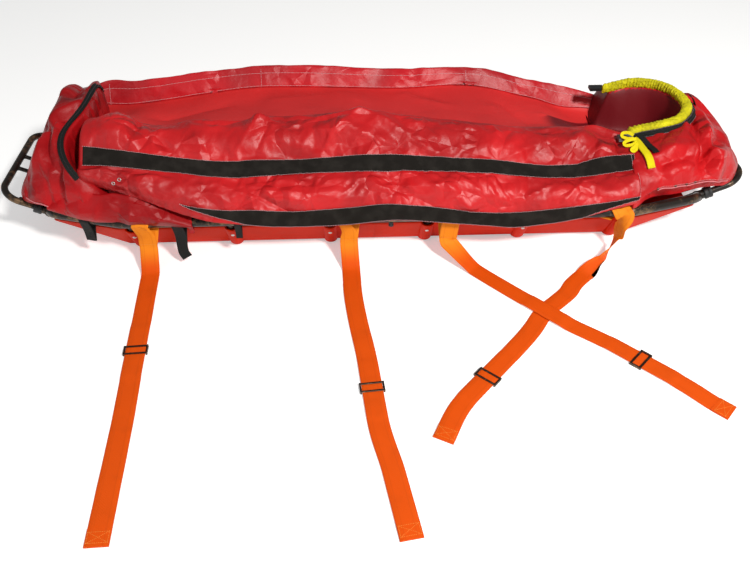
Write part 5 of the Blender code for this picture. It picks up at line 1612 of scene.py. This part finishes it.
def ribbon(centres, across, up, width, thick, ring, start=0.0):
    # webbing on a line: points, faces and UVs in metres, kept above the floor
    run = runAlong(centres) + start
    rings, uvs = [], []
    for p, a, n, u, w in zip(centres, across, up, run, np.broadcast_to(width, len(run))):
        section = np.array([p + a * (s * w / 2) + n * (h * thick) for s, h in ring])
        section[:, 2] = np.maximum(section[:, 2], 0.0001)
        rings.append(section)
        uvs += [(float(u), float(s * w / 2)) for s, _ in ring]
    points, faces = closedLoft(rings)
    return points, faces, uvs + [(float(run[0]), 0.0), (float(run[-1]), 0.0)]


def webPiece(name, strips, finish):
    uvs = [uv for strip in strips for uv in strip[2]]
    return outward(addPiece(name, *joined([strip[:2] for strip in strips]), finish, uvs=uvs))


def stripAlong(name, centres, normals, width, thick, finish):
    # flat webbing on a line: normals give its upper face
    tangents = wayAlong(centres)
    across = unit(np.cross(tangents, unit(np.asarray(normals, float))))
    return webPiece(name, [ribbon(centres, across, np.cross(across, tangents), width, thick, stripRing)], finish)


footZipPlan = [
    (-0.822, 0.76), (-0.815, 0.6), (-0.818, 0.46), (-0.836, 0.34), (-0.838, 0.28), (-0.826, 0.225), (-0.805, 0.18),
    (-0.785, 0.15),
]
skirtFolds = foldTable([
    (-12, 12, 0.8, [(-700, 160), (-685, 200)]), (10, 14, 0.8, [(-670, 150), (-655, 200)]),
    (7, 14, 0.8, [(-760, 160), (-740, 220)]), (6, 12, 0.8, [(-600, 150), (-560, 180)]),
    (10, 12, 0.7, [(-660, 190), (-520, 150)]),
])


def footZip():
    # the zip between the pocket and the panel, its plan as (x, share of the arch from the near hem)
    facing = turnedTo(faceNormals(pocketShape), (30, 58), (0, 0, 1))
    spots = []
    for x, share in smoothLine(footZipPlan, 8):
        row = float(np.interp(-x, -pocketShape[:, 0, 0], np.arange(len(pocketShape))))
        spots.append((row, share * (pocketShape.shape[1] - 1)))
    away = unit(np.array([sampled(facing, row, column) for row, column in spots]))
    line = np.array([sampled(pocketShape, row, column) for row, column in spots]) + away * 0.003
    for k in range(3):
        line[:, k] = averaged(line[:, k], 7)
        away[:, k] = averaged(away[:, k], 9)
    away = unit(away)
    piece = stripAlong("footEdge", line, away, 0.017, 0.0026, finishes["blackWeb"])
    grown("footEdgeTeeth", [line + away * 0.0016], teeth, {"Tooth": finishes["black"]})


def footSkirt():
    # the loose hem under the foot pocket
    x = np.linspace(-0.9, -0.505, 70)
    low = np.interp(x, [-0.9, -0.7, -0.66, -0.5], [0.16, 0.15, 0.147, 0.128])
    high = np.interp(x, [-0.9, -0.8, -0.7, -0.62, -0.505], [0.18, 0.225, 0.232, 0.215, 0.15])
    belly = np.interp(x, [-0.9, -0.7, -0.5], [0.3, 1, 0.8])
    inward = np.interp(x, [-0.9, -0.8, -0.72], [0.055, 0.012, 0.0])
    rows = []
    for t in np.linspace(0, 1, 14):
        y = -0.297 - 0.012 * np.sin(math.pi * t) * belly + inward + 0.022 * t ** 2
        rows.append(np.stack([x, y, low + (high - low) * t], axis=1))
    grid = np.array(rows)
    grid[..., 1] -= foldField(grid[..., [0, 2]].reshape(-1, 2), skirtFolds).reshape(grid.shape[:2])
    # the skirt takes the pocket's finish, with its painted shade
    piece = sheetPiece("footSkirt", grid, finishes["footPocket"], 0.0012)


footZip()
footSkirt()
print("foot end finished")


def collarLine(offset, rise, first=0.0, last=1.0):
    plan = planLine(offset)
    span = plan[int(len(plan) * first):int(math.ceil(len(plan) * last))]
    return np.array([(x, y, archAt(coverLine, x, y) + rise) for x, y in span])


def collar():
    # padded roll: low and round on the near side, a standing wall on the far side
    c = collarSizes
    even = evenly(collarLine(0.0, c["rise"]), 0.0019)
    count = len(even)
    even[:, 2] = averaged(even[:, 2], 17)
    side = unit(np.cross(wayAlong(even), (0, 0, 1)))
    share = np.linspace(0, 1, count)
    far = eased((share - 0.5) / 0.25)
    close = np.clip(0.72 + np.minimum(share, 1 - share) * 40, 0, 1)
    turns = np.linspace(0, 2 * math.pi, 36, endpoint=False)
    wide = c["halfWide"] * (1 - 0.35 * far) * close
    high = c["halfHigh"] * (1 + 0.3 * far) * close
    run = share * 0.6
    places = np.array([(u * 150, 2.2 * math.cos(t) + 9, 2.2 * math.sin(t)) for u in run for t in turns])
    gather = (0.003 * roughField(places, 1.0, 2) + 0.0016 * roughField(places, 2.1, 6)).reshape(count, -1)
    gather += 0.001 * np.sin(run * 620 + 5 * roughField(places.reshape(count, -1, 3)[:, 0], 0.2, 8))[:, None]
    inner = 0.55 + 0.45 * np.clip(-np.cos(turns), 0, 1)
    across = (wide[:, None] + gather * inner) * powered(np.cos(turns), 0.8)
    lift = (high[:, None] + gather * inner) * powered(np.sin(turns), 0.8) + 0.003 * far[:, None]
    rings = even[:, None] + side[:, None] * across[..., None] + np.array([0, 0, 1.0]) * lift[..., None]
    piece = outward(addPiece("hoodCollar", *closedLoft(rings), finishes["yellow"], body=None))
    refined(piece)
    piece.data.shade_smooth()
    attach(piece, "stretcher")
    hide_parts("hood_collar")
    edge = even + side * (wide[:, None] * 0.93) + (0, 0, 0.004)
    seam("collarSeam", [edge[8:-8]], "yellowThread", 0.004, 0.0005)


def hoodZip():
    # black zip band outside the collar, with its teeth and a tag
    line = collarLine(collarSizes["zipOffset"], 0.004, 0.0, 0.6)
    lean = wayAlong(line)
    out = unit(np.cross(lean, (0, 0, 1)) + (0, 0, 1))
    piece = stripAlong("hoodZip", line, out, 0.019, 0.003, finishes["blackWeb"])
    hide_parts("hood_zip")
    grown("hoodZipTeeth", [line + out * 0.0017], teeth, {"Tooth": finishes["black"]})
    beside = unit(np.cross(lean, out)) * 0.0078
    seam("zipSeams", [line + beside + out * 0.0016, line - beside + out * 0.0016], "thread", 0.004, 0.0004)
    tag = collarLine(0.017, 0.012, 0.49, 0.52)
    spot = tag[len(tag) // 2] + (0, 0, 0.012)
    way = unit(np.cross(unit(tag[-1] - tag[0]), (0, 0, 1)))
    drop = np.array([spot + way * t * 0.028 - np.array([0, 0, 1]) * (t ** 1.6) * 0.04 for t in np.linspace(0, 1, 10)])
    normals = np.broadcast_to(way * 0.8 + (0, 0, 0.6), drop.shape)
    piece = stripAlong("collarTag", drop, normals, 0.014, 0.0022, finishes["blackWeb"])


# plans of the pulls as (x, y, height over the cover), and the yellow pull's loops as (x, y, z), in millimetres
blackPlan = metres([
    (728, -130, 12), (738, -150, 6), (746, -172, 0), (752, -195, 0), (755, -212, 0),
])
yellowPlan = metres([
    (712, -142, 12), (720, -160, 8), (727, -195, 2), (734, -228, 0), (738, -246, 0),
])
yellowLoops = [
    [(706, -150, 300), (694, -140, 303), (680, -137, 300), (677, -145, 295), (690, -152, 292), (706, -156, 294)],
    [(712, -158, 294), (695, -160, 292), (679, -164, 286), (683, -172, 282), (700, -172, 284), (714, -164, 288)],
    [(716, -168, 286), (704, -180, 282), (695, -186, 277), (702, -189, 274), (716, -178, 280)],
]


def pull(name, plan, width, finish, node):
    # webbing that lies down the near side of the head cover
    line = np.array([onCover(x, y, 0.003 + z) for x, y, z in smoothLine(plan, 8)])
    line[:, 2] = averaged(line[:, 2], 7) + 0.0012
    piece = stripAlong(name, line, np.broadcast_to((0.0, -0.55, 0.8), line.shape), width, 0.0018, finish)
    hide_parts(node)
    return line


def pulls():
    pull("blackPull", blackPlan, 0.017, finishes["blackWeb"], "black_pull")
    yellow = pull("yellowPull", yellowPlan, 0.021, finishes["yellowWeb"], "yellow_pull")
    rows = [yellow[-4:] + (shift, -0.001, 0.0014) for shift in (0.004, -0.004)]
    seam("pullSeams", rows, "yellowThread", 0.003, 0.0004)
    for i, points in enumerate(yellowLoops):
        line = smoothLine(metres(points), 7)
        normals = np.broadcast_to((0.1, -0.75, 0.55), line.shape)
        piece = stripAlong(f"yellowLoop{i + 1}", line, normals, 0.009, 0.0016, finishes["yellowWeb"])


collar()
hoodZip()
pulls()
print("hood collar, zip and pulls made")


railWrap = {"radius": 0.0156, "railY": 0.28, "railZ": 0.137, "drop": 0.071, "out": 0.004}
strapSizes = {
    "width": 0.05, "thick": 0.002, "hem": 0.042, "travel": 0.05, "slideLength": 0.031, "lift": 0.0027,
    "crossing": 0.05, "straightMore": 0.022, "straightRun": 0.17, "knee": 0.028, "fall": 0.19,
    "wave": 0.0016, "waveScale": 14.0, "overStrap": 0.0024, "sewnHalf": 0.019,
}
# each strap: its place on the rail, its slide's place and way, and its line on the floor as (x, y) in millimetres
strapPlans = {
    "strap_1": {"railX": -0.638, "slide": (-0.618, -0.633), "way": (0.0536, -0.9986), "line": [
        (-634, -335), (-627, -467), (-618, -580), (-613, -678), (-608, -781), (-604, -875), (-599, -984),
        (-596, -1063), (-592, -1171)]},
    "strap_2": {"railX": -0.084, "slide": (-0.038, -0.779), "way": (0.0942, -0.9956), "line": [
        (-80, -335), (-76, -449), (-63, -573), (-50, -687), (-30, -840), (-11, -955), (6, -1058), (26, -1179)]},
    "strap_3": {"railX": 0.193, "slide": (0.621, -0.715), "way": (0.7012, -0.7129), "line": [
        (262, -350), (359, -458), (494, -603), (575, -685), (620, -719), (668, -775), (742, -853), (780, -889)]},
    "strap_4": {"railX": 0.64, "slide": (0.239, -0.756), "way": (-0.671, -0.7415), "line": [
        (620, -335), (532, -416), (496, -464), (422, -532), (376, -598), (307, -681), (239, -756), (188, -831),
        (113, -940)]},
}


def webStrip(centres, across, width, thick, start=0.0):
    # webbing on a line with its own crosswise direction at each point
    tangents = wayAlong(centres)
    across = squared(across, tangents)
    return ribbon(centres, across, np.cross(tangents, across), width, thick, webRing, start)


def railLoop(x, innerShift, outerShift, centreY=-railWrap["railY"], turn=0.0, low=railWrap["railZ"] - railWrap["drop"],
             lowShift=0.0, first=-15):
    # webbing line from the sewn place up the inner side, over the rail and down again
    w, thick = railWrap, strapSizes["thick"]
    radius = w["radius"] + thick / 2
    middle = (low + w["railZ"]) / 2 - 0.004
    line = [(x, centreY - w["out"] + thick * 0.55, low), (x + innerShift * 0.5, centreY + 0.006, middle)]
    if first < -30:  # starts on the rail's underside, with nothing up its inner side
        line = []
    for i in range(15):
        a = math.radians(first + (195 - first) * i / 14)
        shift = innerShift * (1 - i / 14) + outerShift * i / 14
        line.append((x + shift, centreY + radius * math.cos(a), w["railZ"] + radius * math.sin(a)))
    line.append((x + max(outerShift * 0.5, lowShift), centreY - w["out"] - thick * 1.6, middle))
    line.append((x + lowShift, centreY - w["out"] - thick * 0.55, low))
    line = np.array(line)
    if turn:
        c, s = math.cos(turn), math.sin(turn)
        off = line[:, :2] - (x, centreY)
        line[:, :2] = np.stack([x + off[:, 0] * c - off[:, 1] * s, centreY + off[:, 0] * s + off[:, 1] * c], axis=1)
    return evenly(smoothLine(line, 4), 0.003)


def rise(distance, half, run):
    # 1 within half of a place, eased to 0 over run
    t = np.clip((np.abs(distance) - half) / run, 0, 1)
    return (1 + np.cos(math.pi * t)) / 2


def floorLine(plan):
    # the strap's line on the floor, straight as far as its slide travels
    line = evenly(smoothLine(metres(plan["line"]), 10), 0.008)
    at, way = np.array(plan["slide"]), unit(np.array(plan["way"]))
    level = np.array([-way[1], way[0]])
    ahead, side = (line - at) @ way, (line - at) @ level
    side *= 1 - rise(ahead, strapSizes["travel"] + strapSizes["straightMore"], strapSizes["straightRun"])
    return at + np.outer(ahead, way) + np.outer(side, level)


floorLines = {name: floorLine(plan) for name, plan in strapPlans.items()}


def crossingPlace():
    a, b = floorLines["strap_3"], floorLines["strap_4"]
    gaps = np.linalg.norm(a[:, None] - b[None], axis=2)
    return a[np.unravel_index(gaps.argmin(), gaps.shape)[0]]


def strapPath(number, low):
    # the strap's line from the rail's lower end down and out over the floor, with its small waves
    s = strapSizes
    name = f"strap_{number}"
    floor = floorLines[name]
    half = s["thick"] / 2
    first = floor[0]
    knee = np.array([first[0], first[1], half])
    after = np.append(first + unit(floor[1] - first) * 0.06, half)
    fall = evenly(roundedLine([low, low + (0, -0.001, -0.012), knee, after], s["knee"], 7), 0.006)
    rest = np.column_stack([floor, np.full(len(floor), half)])
    path = np.vstack([fall, rest[np.linalg.norm(floor - first, axis=1) > 0.062]])
    far = np.linalg.norm(path[:, :2] - np.array(strapPlans[name]["slide"]), axis=1)
    ground = rise(far, s["travel"] + s["slideLength"], s["slideLength"])
    wave = s["wave"] * (1 + roughField(path[:, :2], s["waveScale"], number))
    down = np.clip((0.02 - path[:, 2]) / 0.018, 0, 1)
    last = np.linalg.norm(path[:, :2] - path[-1, :2], axis=1)
    wave *= (1 - ground) * down * np.clip(last / 0.05, 0, 1)
    lift = np.maximum(s["lift"] * ground, wave)
    over = rise(np.linalg.norm(path[:, :2] - crossingPlace(), axis=1), s["crossing"], s["slideLength"])
    if number == 3:
        lift = np.maximum(lift, (s["thick"] + s["overStrap"]) * over)
    if number == 4:
        lift = lift * (1 - over) + 0.0001
    path[:, 2] += lift
    return path


def strapAcross(path, low, twist, run):
    # crosswise directions: along the rail at first, level on the floor, turned by the twist on the way
    way = wayAlong(path[:, :2])
    level = np.stack([np.abs(way[:, 1]), np.where(way[:, 1] < 0, way[:, 0], -way[:, 0]), np.zeros(len(path))], axis=1)
    down = np.clip((low[2] - path[:, 2]) / (low[2] - 0.012), 0, 1)[:, None]
    across = unit(np.array([1.0, 0, 0]) * (1 - down) + level * down)
    tangents = wayAlong(path)
    across = squared(across, tangents)
    turns = np.radians(np.interp(run / strapSizes["fall"], *zip(*twist)))
    return across * np.cos(turns)[:, None] + np.cross(tangents, across) * np.sin(turns)[:, None]


def strap(number, innerShift, outerShift, twist=((0, 0), (1, 0)), lowShift=0.0, first=-15, pinch=0.0):
    # twist is a table of (share of the fall, degrees about the webbing's own line)
    s = strapSizes
    name = f"strap_{number}"
    loop = railLoop(strapPlans[name]["railX"], innerShift, outerShift, lowShift=lowShift, first=first)
    low = loop[-1]
    path = strapPath(number, low)
    run = runAlong(path)
    across = strapAcross(path, low, twist, run)
    share = np.linspace(0, 1, len(loop))
    turnIn = math.radians(twist[0][1]) * eased((share - 0.5) / 0.35)[:, None]
    loopAcross = np.array([1.0, 0, 0]) * np.cos(turnIn) + np.cross(wayAlong(loop), (1.0, 0, 0)) * np.sin(turnIn)
    narrow = s["width"] * (1 - pinch * np.sin(math.pi * share))
    tail = run > run[-1] - s["hem"]
    hem = path[tail] + (0, 0, s["thick"] + 0.0001)
    strips = [
        webStrip(loop, loopAcross, narrow, s["thick"]), webStrip(path, across, s["width"], s["thick"], 0.12),
        webStrip(hem, across[tail], s["width"] - 0.0006, s["thick"], float(run[-1] - s["hem"])),
    ]
    # the straps' finish carries a painted highlight, lighter where the webbing rises above the floor
    piece = webPiece(f"strap{number}", strips, finishes["orangeWeb"])
    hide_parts(name)
    top = np.array([0, 0, s["thick"] * 0.5 + 0.0004])
    a, b, c, d = [hem[i] + across[tail][i] * (k * (s["width"] / 2 - 0.004)) + top for i in (1, -2) for k in (-1, 1)]
    box = [evenly([p, q], 0.004) for p, q in ((a, b), (b, d), (d, c), (c, a), (a, d), (b, c))]
    seam(f"strap{number}Stitches", box, "orangeThread", 0.0034, 0.00045)
    corners = ((-1, 0.002), (1, 0.002), (1, -0.01), (-1, -0.01), (-1, 0.002))
    sewn = [low + (k * s["sewnHalf"], -0.0016, z) for k, z in corners]
    seam(f"strap{number}EyeStitches", [evenly(sewn, 0.004)], "orangeThread", 0.0034, 0.00045)


strap(1, 0.016, -0.01, pinch=0.15)
strap(2, 0.02, -0.014, pinch=0.5)
strap(3, -0.006, 0.004)
strap(4, -0.022, 0.036, ((0, 74), (0.3, 80), (0.55, 104), (0.95, 180), (1, 180)), 0.034, -105)
print("straps made")


lashingTurn = -math.atan2(0.055, 0.195)  # the rail's own turn where the foot lashing sits


def blackWebs():
    # hanging tail, foot lashing and the small tabs on the near rail
    def onRail(line, across, width, thick=0.002, start=0.0):
        return webStrip(line, np.broadcast_to(across, line.shape), width, thick, start)

    alongRail = (1.0, 0, 0)
    loop = railLoop(-0.545, 0.004, -0.002, low=0.068)
    low = loop[-1]
    drops = ((0, 0, 0), (0, -0.002, -0.012), (0.002, -0.005, -0.028), (0.01, -0.008, -0.043))
    tail = smoothLine([low + drop for drop in drops], 6)
    strips = [onRail(loop, alongRail, 0.03), onRail(tail, alongRail, 0.03, start=0.1)]
    piece = webPiece("hangingTail", strips, finishes["blackWeb"])
    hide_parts("hanging_tail")
    side = (math.cos(lashingTurn), math.sin(lashingTurn), 0.0)
    lashing = onRail(railLoop(-0.7975, 0.0, 0.0, -0.2525, lashingTurn), side, 0.03)
    piece = webPiece("footLashing", [lashing], finishes["blackWeb"])
    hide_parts("foot_lashing")
    for name, x, width, low, finish, slot in (
            ("blackTab", -0.385, 0.018, 0.082, "blackWeb", "black_webbing"),
            ("redTab", -0.512, 0.012, 0.102, "headCover", "red_fabric")):
        tab = onRail(railLoop(x, 0.0, 0.0, low=low), alongRail, width, 0.0018)
        piece = webPiece(name, [tab], finishes[finish])


blackWebs()
print("black webbing made")


rivets = [f"shell_rivet_{i:02d}" for i in range(1, 13)]
carried = {
    "steel": ["near_spigot", "far_spigot", "near_spigot_rivet", "far_spigot_rivet"] + rivets,
    "black": ["near_coupling_pin", "far_coupling_pin", "far_buckle_socket", "far_buckle_plug"],
    "grey": ["near_buckle_socket", "near_buckle_plug"],
    "gunmetal": [f"slide_{i}" for i in range(1, 5)],
}
for finishName, nodes in carried.items():
    for node in nodes:
        for place in bpy.data.objects[node].material_slots:
            place.material = finishes[finishName]
print("carried nodes finished")
